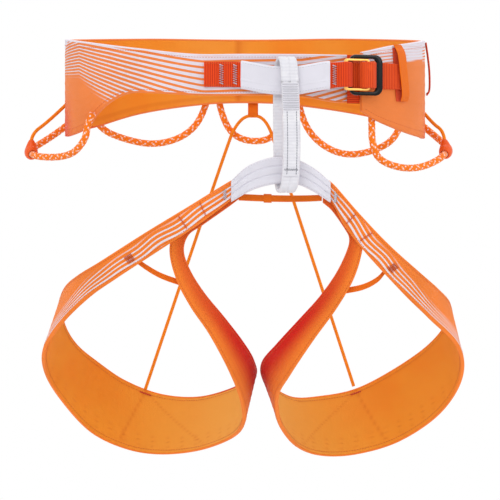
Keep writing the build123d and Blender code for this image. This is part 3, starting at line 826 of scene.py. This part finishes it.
web_tacks = threads("webbing_bar_tacks",
                    [zigzag(webbing, u, 0.12, 0.88, -0.2, 3.0, 0.9) for u in (14.5, 26.0, 110.5)], 0.55, grey_thread)
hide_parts("webbing_bar_tacks")
belt_pieces.append(web_tacks)
web_edge = threads("webbing_edge_stitches",
                   stitches(webbing, 1, 28, 0.07, -0.1) + stitches(webbing, 1, 28, 0.93, -0.1), 0.2, orange_thread)
belt_pieces.append(web_edge)

SLEEVE_FROM, SLEEVE_TO = 31.0, 107.0
sleeve_run = webbing.part(SLEEVE_FROM, SLEEVE_TO)


def puckers(u, share, side):
    """Soft unevenness of a sewn sleeve."""
    pinch = exp(-((u - SLEEVE_FROM) / 5) ** 2) + exp(-((u - SLEEVE_TO) / 5) ** 2)
    return side * -(0.25 * sin(u / 4.3 + 5 * share) * sin(pi * share) - 0.3 * pinch
                    - 0.35 * exp(-((share - 0.72) / 0.03) ** 2))


upper_sleeve = ribbon("upper_tie_in_sleeve", sleeve_run, slab(-1.4, WEBBING + 1.4, 30, 1.4, 5), sleeve_cloth,
                      puckers, hollow=slab(-0.3, WEBBING + 0.3, 30, 0.4, 5))
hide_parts("upper_tie_in_sleeve")
belt_pieces.append(upper_sleeve)
sleeve_rows = stitches(sleeve_run, SLEEVE_FROM + 1.5, SLEEVE_TO - 1, 0.72, -1.05)
sleeve_rows += stitches(sleeve_run, SLEEVE_FROM + 1.5, SLEEVE_TO - 1, 0.03, -1.2)
sleeve_rows += stitches(sleeve_run, SLEEVE_FROM + 1.5, SLEEVE_TO - 1, 0.96, -1.2)
belt_pieces.append(threads("upper_sleeve_stitches", sleeve_rows, 0.17, white_thread))

# ---- belay loop -----------------------------------------------------------------------------------
BELAY_ROUTE = [(37.4, -114.4, -12), (38.4, -114.5, -38), (38.8, -114.3, -64), (38.2, -113.2, -86),
               (36.6, -110.4, -98.4), (34.5, -104.2, -103), (32.8, -97.4, -100.6), (31.6, -93.7, -90),
               (31, -93.6, -70), (30.8, -95.6, -46), (30.7, -98.4, -25), (31, -99.1, -8),
               (32, -99.8, 3.8), (33.6, -104.8, 9.4), (35.4, -110.8, 8.8), (36.6, -114.2, 1)]
half_belay = Vector((BELAY_WIDTH / 2, 0, 0))
belay = Band.through([(Vector(p) - half_belay, Vector(p) + half_belay) for p in BELAY_ROUTE], 16,
                     inward_sign=-1, closed=True)
belay_piece = ribbon("belay_loop_webbing", belay, slab(0, BELAY_THICK, 14), white_webbing,
                     lambda u, share, side: (0.6 * exp(-((share - 0.5) / 0.06) ** 2) if side < 0 else 0.0)
                     - side * 0.04 * cos(2 * pi * u / 1.2))
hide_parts("belay_loop_webbing")
splice_run = belay.part(-1, 78)
splice = ribbon("belay_loop_splice", splice_run, slab(-1.1, -0.1, 12, -0.6, 3), white_webbing,
                lambda u, share, side: 0.03 * side * cos(2 * pi * u / 1.2))
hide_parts("belay_loop_splice")
belay_rows = [row for share in (0.27, 0.8) for row in stitches(splice_run, 24, 77, share, -1.1, 2.1, 1.5)]
belay_rows += [zigzag(splice_run, u, 0.12, 0.88, -1.1, 1.6, 0.7) for u in (72,)]
belay_stitching = threads("belay_loop_stitching", belay_rows, 0.24, dark_thread)
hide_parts("belay_loop_stitching")
ridge_rows = [[splice_run.spot(u, 0.06 + 0.88 * k / 8, -1.2 - 0.15 * sin(pi * k / 8)) for k in range(9)]
              for u in [1.5 + 1.9 * n for n in range(12)]]
belay_ridges = threads("belay_loop_cross_stitches", ridge_rows, 0.42, white_thread)
for piece in (belay_piece, splice, belay_stitching, belay_ridges):
    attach(piece, "belay_loop")

# ---- lower tie-in sleeve and link strap -------------------------------------------------------------
LEFT_END, RIGHT_END = -11.5, 71.5
ARCH = [((LEFT_END, -97, -92.5), (LEFT_END, -97, -110.5)), ((2, -99, -80.6), (5, -99, -101.2)),
        ((19, -102.6, -74), (20, -102.8, -96.6)), ((33, -104, -73.4), (34, -104, -95.2)),
        ((46, -103.2, -76), (46, -103.2, -96.8)), ((59, -100.4, -83), (57, -100.4, -101.8)),
        ((RIGHT_END, -97.5, -93.5), (RIGHT_END, -97.5, -111))]
arch = Band.through(ARCH, 20)
arch.inward = [v * (1 if v.y > 0 else -1) for v in arch.inward]
ARCH_THICK = 2 * SLEEVE_WALL + 2.6
arch_long = arch.along[-1]


def arch_padding(u, share, side):
    """Three rolled channels along the sleeve, with pressed seams between them."""
    seams = exp(-((share - 0.3) / 0.035) ** 2) + exp(-((share - 0.68) / 0.035) ** 2)
    ends = exp(-(u / 4) ** 2) + exp(-((u - arch_long) / 4) ** 2)
    return side * -(0.9 * seams + 0.4 * ends - 0.3 * sin(u / 3.7 + 6 * share) * sin(pi * share))


lower_sleeve = ribbon("lower_tie_in_sleeve", arch, slab(0, ARCH_THICK, 34, 0, 6), sleeve_cloth,
                      arch_padding, hollow=slab(1.1, ARCH_THICK - 1.1, 34, -1.1, 6))
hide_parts("lower_tie_in_sleeve")
arch_rows = [row for share in (0.3, 0.68) for row in stitches(arch, 2, arch_long - 2, share, 0.75)]
arch_rows += [row for share in (0.06, 0.94) for row in stitches(arch, 2, arch_long - 2, share, 0.5)]
belt_pieces += [lower_sleeve, threads("lower_sleeve_stitches", arch_rows, 0.17, white_thread)]

LINK = [((-5, -89.5, -103.6), (-5, -89.5, -109.2)), ((14, -87, -104.4), (14, -87, -110)),
        ((33, -86, -104.8), (33, -86, -110.4)), ((50, -87, -104.8), (50, -87, -110.2)),
        ((64, -89.5, -104.4), (64, -89.5, -109.6))]
link = Band.through(LINK, 30)
link.inward = [v * (1 if v.y > 0 else -1) for v in link.inward]
link_piece = ribbon("leg_link_strap", link, slab(0, 1.8, 8), elastic)
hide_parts("leg_link_strap")
tab_run = link.part(21, 28)
tab_piece = ribbon("leg_link_tab", tab_run, slab(-0.5, 2.3, 8, 0.9), elastic)
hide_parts("leg_link_tab")
belt_pieces += [link_piece, tab_piece]

# ---- leg loops ----------------------------------------------------------------------------------------
LEG_START = 1.4
left_x, right_x = LEFT_END - LEG_START, RIGHT_END + LEG_START
LEFT_LEG = [
    ((left_x + 8, -93.6, -91.5), (left_x + 8, -93.6, -103)), ((left_x, -95.2, -94.5), (left_x, -95.2, -109.3)), ((-48, -96, -116), (-40, -97, -129)),
    ((-83, -88, -137), (-74, -90, -151)), ((-120, -68, -160), (-110, -73, -174)),
    ((-141, -45, -172), (-133, -60, -189)), ((-154, -15, -182), (-156, -40, -210)),
    ((-160, 10, -195), (-173, -7, -234)), ((-160, 35, -213), (-174, 30, -257)),
    ((-150, 58, -233), (-160, 53, -283)), ((-131, 75, -250), (-136, 69, -310)),
    ((-106, 84, -267), (-106, 78, -325)), ((-74, 86, -279), (-75, 79, -330)),
    ((-40, 76, -281), (-40, 68, -326)), ((-9, 50, -272), (-11, 42, -314)),
    ((9, 18, -260), (0, 12, -300)), ((8, -10, -246), (-1, -12, -281)),
    ((-1, -31, -230), (-10, -31, -257)), ((-17, -50, -209), (-28, -50, -223)),
    ((-34, -65, -188), (-44, -65, -199)), ((-46, -76, -169), (-56, -76, -176)),
    ((-52, -84, -152), (-62, -84, -152)), ((-48, -88, -138), (-57, -89, -133)),
    ((-36, -90.5, -129), (-42, -90.5, -119)), ((left_x, -91.5, -113), (left_x, -91.5, -102)),
    ((left_x + 8, -91.4, -107), (left_x + 8, -91.4, -97))]
RIGHT_LEG = [
    ((right_x - 8, -93.6, -92.5), (right_x - 8, -93.6, -104)), ((right_x, -95.2, -96), (right_x, -95.2, -110.8)), ((94, -96, -120), (84, -97, -130)),
    ((120, -86, -147), (105, -88, -156)), ((150, -50, -172), (136, -62, -187)),
    ((165, -22, -184), (157, -47, -206)), ((177, 4, -197), (184, -14, -233)),
    ((177, 30, -214), (188, 22, -262)), ((160, 54, -236), (170, 46, -293)),
    ((128, 77, -259), (136, 70, -318)), ((96, 86, -275), (98, 79, -330)),
    ((64, 85, -281), (66, 77, -331)), ((40, 68, -281), (44, 60, -322)),
    ((22, 40, -271), (30, 32, -304)), ((14, 12, -259), (26, 6, -288)),
    ((15, -12, -246), (27, -14, -273)), ((27, -36, -231), (37, -36, -256)),
    ((46, -54, -210), (57, -54, -226)), ((63, -67, -191), (75, -67, -201)),
    ((77, -78, -171), (89, -78, -177)), ((86, -84, -152), (96, -84, -156)),
    ((88, -88, -141), (97, -89, -140)), ((84, -90.5, -132), (91, -90.5, -125)),
    ((right_x, -91.5, -117), (right_x, -91.5, -106)), ((right_x - 8, -91.4, -110), (right_x - 8, -91.4, -100))]
BRIDGES = {"left": [(-94, -78.4, -156.5), (-82, -76.8, -165.4), (-69, -74, -172.6), (-51, -69.2, -179)],
           "right": [(118, -71, -167.5), (111, -72, -175.4), (99, -72, -181.6), (83, -68.6, -185)]}
RISER_END = {"left": Vector((-87, 84.4, -270)), "right": Vector((95, 84.4, -268))}


def nearest(band, place, share):
    """How far along the band a place is."""
    k = min(range(len(band.top)), key=lambda i: (band.point(i, share, 0, 0) - place).length)
    return band.along[k]


def leg_loop(side, stations):
    """One leg loop: shell, lining, edge tapes, stitching, bar tacks and elastic bridge."""
    body = f"{side}_leg_loop"
    band = Band.through(stations, 14, inward_sign=-1 if side == "left" else 1)
    whole = band.along[-1]
    tack = nearest(band, Vector(BRIDGES[side][0]), 0.5)
    hip = nearest(band, Vector(stations[6][0]), 0.0)
    touch = nearest(band, Vector(stations[15][0]), 0.0)
    riser_at = nearest(band, RISER_END[side], 0.0)
    pitch = [(0, 4.4), (tack, 3.9), (hip, 2.7), (hip + 60, 3.4), (whole, 4.2)]
    white = [(0, 0.34), (tack * 0.6, 0.32), (tack, 0.3), (hip, 0.3), (hip + 60, 0.4), (whole, 0.3)]

    def stripe(u, share, face):
        width = between(list(zip(band.along, band.width)), u)
        edge = (1 - share) * width
        ripple = 0.3 * sin(u / 7.5) * exp(-((u - tack * 0.7) / 45) ** 2)
        slant = max(0.0, u - hip - 30) / 16
        place = edge / between(pitch, u) + ripple + slant
        strength = 1 - ease((edge - 11) / 5)
        strength *= 1 - ease((u - riser_at) / 60)
        return place, between(white, u) * (1.5 - 0.5 * ease((edge - 3.5) / 1.5)), strength

    def red(u, share, face):
        """Painted shade and painted inter-reflection: the inside strap's outer face turns deep red towards its upper
        edge.
        """
        here = ease((u - touch + 90) / 70) * (1 - 0.55 * ease((u - touch - 60) / 110))
        return here * (1 - ease((share - 0.15) / 0.85))

    def shell_lift(u, share, face):
        if face > 0:
            return 0.0
        gather = exp(-(u / 44) ** 2) * ease((u - 9) / 8) + exp(-((u - whole) / 36) ** 2) * ease((whole - u - 9) / 8)
        folds = -1.1 * gather * sin(pi * share * 5) * sin(pi * share)
        folds += 0.8 * sum(exp(-((u - at) / 1.3) ** 2) for at in (36.0, 56.0)) * sin(pi * share)
        return folds - 0.14 * max(0.0, sin(pi * share * 16 - pi / 2))

    def leg_lining_painted_light(u, share, face):
        # Painted light: the lining is lighter from the riser round to where the loops touch.
        return ease((u - riser_at + 60) / 170) * (1 - ease((u - touch - 40) / 60))

    def lining_seams(u, share, face):
        width = between(list(zip(band.along, band.width)), u)
        down = share * width
        veins = sum(exp(-((u - riser_at - lean * down) / 1.0) ** 2) for lean in (-0.45, 1.35))
        dash = max(0.0, sin(u / 2.2)) ** 3
        quilt = dash * sum(exp(-((share - s) / 0.012) ** 2) for s in (0.74, 0.82, 0.9))
        shown = ease((u - hip - 20) / 40) * (1 - ease((u - touch + 30) / 40))
        return min(0.8, 0.35 * veins * (share < 0.93) + 0.4 * quilt * shown)

    outer = ribbon(f"{side}_leg_shell", band, slab(0, LEG_SHELL, 44), leg_cloth, shell_lift,
                   {"stripe": stripe, "painted_shading": red})
    inner = ribbon(f"{side}_leg_lining", band, slab(LEG_THICK - 1.1, LEG_THICK, 44), lining,
                   lambda u, share, face: soft_dents(u, share, face) * 0.5 if face > 0 else 0.0,
                   {"painted_shading": leg_lining_painted_light, "seam": lining_seams})
    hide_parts(f"{side}_leg_shell")
    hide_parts(f"{side}_leg_liner")
    made = [outer, inner] + bound_edges(f"{side}_leg", band, LEG_THICK, f"{side}_leg", leg_cloth,
                                        {"stripe": lambda u, share, face: (0.0, 0.0, 0.0), "painted_shading": red})
    for k in range(LEG_STRANDS):
        share = (k + 1) / (LEG_STRANDS + 1)
        section = [(share, more, depth, 0) for more, depth in ((-0.45, 1.2), (0.45, 1.2), (0.45, 1.8), (-0.45, 1.8))]
        piece = ribbon(f"{side}_leg_strand_{k + 1}", band, section, strand)
        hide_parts(f"{side}_leg_strands")
        made.append(piece)

    half = up * 2.5
    bridge = Band.through([(Vector(p) + half, Vector(p) - half) for p in BRIDGES[side]], 24)
    bridge_piece = ribbon(f"{side}_leg_bridge_elastic", bridge, slab(0, 1.3, 8), elastic)
    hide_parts(f"{side}_leg_bridge_elastic")
    patch = [zigzag(band, tack + n * 1.5, 0.42, 0.82, -0.35, 1.4, 0.7) for n in (-2, -1, 0, 1, 2)]
    tacks = threads(f"{side}_leg_bar_tacks", patch, 0.3, orange_thread)
    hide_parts(f"{side}_leg_bar_tacks")
    end_tack = threads(f"{side}_leg_sleeve_tack", [zigzag(band, 14.0, 0.25, 0.75, -0.6, 3.0, 0.7)], 0.5, grey_thread)
    creases = threads(f"{side}_leg_cross_seams",
                      [zigzag(band, at, 0.12, 0.9, -0.1, 0.8, 1.1) for at in (36.0, 56.0)], 0.4, crease_thread)
    riser_tack = threads(f"{side}_leg_riser_tack",
                         [[band.spot(riser_at - 5 + n, 0.05 + 0.012 * (n % 2), LEG_THICK + 0.5) for n in range(11)]],
                         0.55, red_thread)
    rows = [row for share in (0.06, 0.94) for row in stitches(band, 6, whole - 6, share, -0.02)]
    rows += [row for share in (0.05, 0.95) for row in stitches(band, 6, whole - 6, share, LEG_THICK + 0.1, out=1)]
    seams = threads(f"{side}_leg_stitches", rows, 0.17, orange_thread)
    for piece in made + [end_tack, creases, seams]:
        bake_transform(piece)
    for piece in (bridge_piece, tacks, riser_tack):
        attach(piece, body)


leg_loop("left", LEFT_LEG)
leg_loop("right", RIGHT_LEG)

# ---- cords ------------------------------------------------------------------------------------------------
REAR_LEFT, REAR_RIGHT = angle_at(-33, rear=True), angle_at(46, rear=True)
HAUL_LEFT, HAUL_RIGHT = angle_at(-24, rear=True), angle_at(37, rear=True)
SIDE_LEFT, SIDE_RIGHT = 108.0, 252.0
AFT_LEFT, AFT_RIGHT = 124.5, 238.0
EDGE_LEFT, EDGE_RIGHT = angle_at(-125.5), angle_at(110)
SOCKET_OUT = ROPE / 2 + CLEAR


def rope_end(angle, z):
    return on_belt(angle, z, SOCKET_OUT + 0.4)


GEAR_LOOPS = {
    "front_left": [on_belt(EDGE_LEFT, -35.5, 3.2), on_belt(angle_at(-130), -44, 3.8), (-134, -62, -58),
                   (-150, -42, -73), (-193, 4, -69), (-164, 42, -49), rope_end(SIDE_LEFT, -39)],
    "front_right": [on_belt(EDGE_RIGHT, -36, -7.6), on_belt(EDGE_RIGHT, -46, -7.0), (106.5, -75, -60),
                    (113, -66, -77), (146, -38, -83.5), (179, 2, -66), (162, 40, -48), rope_end(SIDE_RIGHT, -40)],
    "rear_left": [rope_end(AFT_LEFT, -32), (-128, 70, -44), (-106, 84, -53), (-80, 95.4, -57.6),
                  (-54, 102.4, -50), (-38, 103, -33), rope_end(REAR_LEFT, -15)],
    "rear_right": [rope_end(AFT_RIGHT, -34), (135, 64, -50), (116, 76, -63), (88, 92.4, -67.4),
                   (64, 102, -55), (50, 103, -34), rope_end(REAR_RIGHT, -14)],
    "haul": [rope_end(HAUL_LEFT, -13), (-20.5, 103, -35), (-6, 106, -53), (22, 106, -54),
             (33.5, 103, -36), rope_end(HAUL_RIGHT, -13)]}
TETHERS = {"left": [on_belt(95, -25, 0.6), (-170, 10, -40), (-183.4, 4.8, -50), (-184, 3.4, -57)],
           "right": [on_belt(266, -32.5, 0.6), (162, 9, -41.5), (171, 6, -48), (172, 4.6, -56.5)]}
RISER_ROUTE = [(-88.2, 84.0, -273.5), (-15, 97.4, -54), (-8, 99.6, -39.5), (0.5, 100.8, -31), (13.5, 100.8, -31),
               (21.5, 99.4, -41), (27, 97.6, -58), (96.2, 84.0, -271.5)]


def box_middle(node):
    low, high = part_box(node)
    return (Vector(low) + Vector(high)) * 500


def yarn_bumps(yarns, pitch, height):
    def relief(u, turn):
        one, two = u / pitch + turn * yarns, u / pitch - turn * yarns
        return height * abs(sin(pi * one) * sin(pi * two))
    return relief


rope_lines = {}
for name, route in GEAR_LOOPS.items():
    node = "haul_loop_rope" if name == "haul" else f"gear_rope_{name}"
    line = rope_lines[name] = centre_line(node, route)
    bead = box_middle(f"gear_separator_{name[6:]}") if name.startswith("front") else None
    piece = tube(node, line, ROPE / 2 - 0.1, gear_rope, 32, yarn_bumps(8, 3.6, 0.22),
                 {"pale": lambda u, here, bead=bead: 0.7 * exp(-((here - bead).length / 11) ** 4) if bead else 0.0})
    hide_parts(node)
    body = "haul_loop" if name == "haul" else f"gear_loop_{name}"
    if name == "front_left":
        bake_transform(piece)
    else:
        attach(piece, body)


def separator(side):
    """A moulded hood that slides on the gear rope, with a neck where its tether goes in."""
    line = rope_lines[f"front_{side}"]
    middle = box_middle(f"gear_separator_{side}")
    k = min(range(len(line)), key=lambda i: (line[i] - middle).length)
    reach = 9
    run = line[k - reach:k + reach + 1]
    tether_end = Vector(TETHERS[side][-1])
    toward = (tether_end - line[k]).normalized()
    rings = []
    profile = [(n, 1) for n in range(len(run))] + [(n, 0) for n in reversed(range(len(run)))]
    steady = frames(run)
    for n, outer in profile:
        a, b = steady[n]
        s = (n - reach) / (reach + 0.4)
        swell = max(0.0, 1 - s * s) ** 0.5
        ring = []
        for j in range(36):
            way = a * cos(2 * pi * j / 36) + b * sin(2 * pi * j / 36)
            up_share = max(0.0, way.dot(toward))
            r = 3.6 + (2.2 + 1.6 * up_share ** 2) * swell if outer else ROPE / 2 + 0.5
            ring.append(run[n] + way * r)
        rings.append(ring)
    bead = skin(f"gear_separator_{side}", rings, bead_plastic, {}, closed=True)
    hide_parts(f"gear_separator_{side}")
    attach(bead, f"separator_{side}")
    return line[k]


def tether(side, heart):
    """The cord from the belt to the hood, and the hood's neck round its end."""
    route = TETHERS[side]
    line = centre_line(f"separator_tether_{side}", route)
    piece = tube(f"separator_tether_{side}", line, TETHER / 2 - 0.05, thin_cord, 20, yarn_bumps(8, 1.6, 0.1),
                 {"pale": lambda u, here: 0.0})
    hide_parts(f"separator_tether_{side}")
    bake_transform(piece)
    start, way = line[-2], (heart - line[-2])
    neck_line = [start + way * (0.75 * k / 16) for k in range(17)]
    neck = tube(f"separator_neck_{side}", neck_line, lambda u: 1.9 + 3.6 * (u / (0.75 * way.length)) ** 0.8,
                bead_plastic, 28)
    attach(neck, f"separator_{side}")


for side in ("left", "right"):
    tether(side, separator(side))

riser_line = centre_line("riser_cord", RISER_ROUTE)
top = min(range(len(riser_line)), key=lambda i: abs(riser_line[i].x - 7.0))
halves = {"left": list(reversed(riser_line[:top + 1])), "right": riser_line[top:]}
for side, line in halves.items():
    piece = tube(f"riser_cord_{side}", line, RISER / 2 + 0.15, thin_cord, 16, yarn_bumps(8, 1.6, 0.06),
                 {"pale": lambda u, here: 0.0})
    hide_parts("riser_cord")
    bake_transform(piece)

# ---- rope sockets, rear tab ---------------------------------------------------------------------------------
SOCKETS = [(SIDE_LEFT, -39), (SIDE_RIGHT, -40), (AFT_LEFT, -32), (AFT_RIGHT, -34), (REAR_LEFT, -15),
           (REAR_RIGHT, -14), (HAUL_LEFT, -13), (HAUL_RIGHT, -13)]
SOCKET_LENGTH = 11.0
for number, (angle, z) in enumerate(SOCKETS, 1):
    foot = on_belt(angle, z + ROPE / 2 + 0.5, SOCKET_OUT + 0.4)
    out = (on_belt(angle, 0, 1) - on_belt(angle, 0, 0)).normalized()
    wide = out.cross(up)
    rings = []
    for k in range(13):
        f = k / 12
        pinch = 1 - 0.35 * ease((f - 0.75) / 0.25) - 0.12 * exp(-((f - 0.4) / 0.08) ** 2)
        ring = []
        for j in range(28):
            c, s = cos(2 * pi * j / 28), sin(2 * pi * j / 28)
            flat = out * (s * (2.9 if s > 0 else 2.75) * pinch)
            flare = 1.0 + (0.35 if s < -0.3 else 0.0) * ease(f * 3)
            ring.append(foot + up * (SOCKET_LENGTH * f) + flat + wide * (c * 2.95 * flare * min(1, pinch + 0.1)))
        rings.append(ring)
    marks = [(0.003 * j / 28 * 6, 0.011 * k / 12, 0.0) for k in range(13) for j in range(28)]
    socket = skin(f"gear_loop_socket_{number}", rings, tape, {"band": marks})
    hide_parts("gear_loop_sockets")
    turns = [[foot + up * h + (out * sin(t) * 2.95 + wide * cos(t) * 3.1) for t in [pi * n / 10 for n in range(11)]]
             for h in (4.0, 4.9, 5.8)]
    belt_pieces += [socket, threads(f"gear_loop_socket_stitches_{number}", turns, 0.24, orange_thread)]

TAB_X, TAB_Y, TAB_Z = 7.0, 100.8, -24.0
tab_half = Vector((4.5, 0, 0))
tab_stations = [(Vector((TAB_X, y, z)) - tab_half, Vector((TAB_X, y, z)) + tab_half)
                for y, z in ((100.2, -16), (102.4, -19), (103.2, -24), (103.1, -29), (101.2, -32.3),
                             (98.9, -29.5), (98.5, -24), (98.7, -17))]
tab_band = Band.through(tab_stations, 12)
rear_tab = ribbon("rear_tab", tab_band, slab(-0.5, 0.6, 8), elastic)
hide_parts("rear_tab")
belt_pieces.append(rear_tab)

# ---- buckle -------------------------------------------------------------------------------------------------


def rounded(wide, tall, corner, shift=0.0):
    """An outline with round corners, with the same number of points for any size."""
    found = []
    for turn, (cx, cz) in enumerate(((1, 1), (-1, 1), (-1, -1), (1, -1))):
        for k in range(9):
            a = pi / 2 * (turn + k / 8)
            found.append((shift + cx * (wide / 2 - corner) + corner * cos(a),
                          cz * (tall / 2 - corner) + corner * sin(a)))
    return found


def metal_frame(name, outline, window, low, thick, shift, material, bevel=0.7):
    """A frame with rounded edges between an outline and a window."""
    rings = []
    levels = [(1, 0, bevel), (1, bevel * 0.3, bevel * 0.3), (1, bevel, 0), (0, bevel, 0),
              (0, bevel * 0.3, bevel * 0.3), (0, 0, bevel), (0, 0, thick - bevel),
              (0, bevel * 0.3, thick - bevel * 0.3), (0, bevel, thick), (1, bevel, thick),
              (1, bevel * 0.3, thick - bevel * 0.3), (1, 0, thick - bevel)]
    for outside, inset, height in levels:
        ring = []
        for (ox, oz), (ix, iz) in zip(outline, window):
            way = Vector((ix - ox, iz - oz)).normalized() * inset
            x, z = (ox + way.x, oz + way.y) if outside else (ix - way.x, iz - way.y)
            ring.append(BUCKLE_CENTRE + buckle_along * (x + shift) + up * z + buckle_out * (low + height))
        rings.append(ring)
    return skin(name, rings, material, {}, closed=True, sharp=40)


BAR, RIGHT_BAR, SIDE_BAR = 3.3, 6.4, 2.0
outer_frame = metal_frame("buckle_outer_frame", rounded(33, 34, 7.0),
                          rounded(33 - BAR - RIGHT_BAR, 34 - 2 * BAR, 3.4, (BAR - RIGHT_BAR) / 2),
                          -3.4, 2.6, 2.2, black_metal, 0.9)
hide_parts("buckle_outer_frame")
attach(outer_frame, "buckle_outer")
inner_frame = metal_frame("buckle_inner_frame", rounded(25, 26.6, 3.0), rounded(25 - 2 * BAR, 26.6 - 2 * SIDE_BAR, 0.8),
                          -0.3, 2.8, -8.2, gold_metal, 0.8)
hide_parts("buckle_inner_frame")
belt_pieces.append(inner_frame)

STRAP_ROLL = [(-5.2, -2.4), (-4.8, 1.6), (-1.8, 5.2), (5.0, 5.6), (9.6, 3.2), (10.6, -2.0), (12.6, -5.0),
              (16.6, -6.0)]
STRAP_ANGLES = [315.5, 309, 303.6]
UNDER_FOLD = [(-13.6, -3.7), (-9.5, -3.6)]
strap_rows = [(in_buckle(a, n, WEBBING_TOP), in_buckle(a, n, WEBBING_BOTTOM)) for a, n in UNDER_FOLD + STRAP_ROLL]
strap_rows += [(on_belt(a, WEBBING_TOP, CLEAR + WEBBING), on_belt(a, WEBBING_BOTTOM, CLEAR + WEBBING))
               for a in STRAP_ANGLES]
strap = Band.through(strap_rows, 26)
strap_piece = ribbon("waist_strap", strap, slab(0, WEBBING, 12), strap_webbing, ribs(1.7, 0.14))
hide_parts("waist_strap")
belt_pieces.append(strap_piece)


def keeper(angles, heights, outs, wide, thick=1.1):
    """An elastic tape that runs down the belt and stands off it over the strap."""
    rows = []
    for a, z, out in zip(angles, heights, outs):
        middle = on_belt(a, z, out + CLEAR + thick)
        along = (belt_plan(a + 0.5) - belt_plan(a - 0.5)).normalized() * (wide / 2)
        rows.append((middle + along, middle - along))
    return Band.through(rows, 16)


over = WEBBING + CLEAR
KEEPERS = {
    "strap_keeper_front": (keeper([307.8, 307.0, 306.4, 305, 304, 303.4], [22, 19.6, 13, -5, -19, -25],
                                  [-0.6, 0.2, over, over + 0.2, over, 0], 9.0), 1.1, elastic),
    # Painted shadow: a thin red strip laid on the belt along the left edge of the front keeper.
    "strap_keeper_front_inner": (keeper([angle_at(127.2), angle_at(128.4), angle_at(130.3)], [19.5, -3, -25.5],
                                        [-1.1] * 3, 9.0), 0.35, red_tape),
    "strap_keeper_side": (keeper([268] * 5, [28, 16, 2, -12, -17], [-0.8, 1.0, 2.4, 2.4, 0.2], 9.0), 1.1,
                          red_tape),
    "buckle_backing_tape": (keeper([angle_at(91.5) - 360] * 5, [12.5, 4, -6, -18, -28],
                                   [0, 0.2, 0.3, 0.2, 0], 12.0, 1.2), 1.2, red_webbing)}
for name, (band, thick, material) in KEEPERS.items():
    piece = ribbon(name, band, slab(0, thick, 10), material)
    if name != "strap_keeper_front_inner":
        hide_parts(name)
    long = band.along[-1]
    ends = [zigzag(band, u, 0.1, 0.9, -0.15, 1.4, 0.8) for u in (1.6, long - 1.6)]
    belt_pieces += [piece, threads(f"{name}_tacks", ends, 0.22, orange_thread)]

belt_rows = [row for share in (0.05, 0.95)
             for row in stitches(belt_stretch(-10, 323), belt.along[0] + 60, belt.along[-1] - 2, share, -0.05)]
belt_pieces.append(threads("belt_stitches", belt_rows, 0.17, orange_thread))

for piece in belt_pieces:
    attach(piece, "waist_belt")

# ---- CAD pieces that stay ---------------------------------------------------------------------------------
KEPT = {"waist_belt_strands": strand, "lower_tie_in_webbing": red_webbing}
for node, material in KEPT.items():
    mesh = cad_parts[node].data
    for k in range(max(1, len(mesh.materials))):
        if mesh.materials:
            mesh.materials[k] = material
        else:
            mesh.materials.append(material)
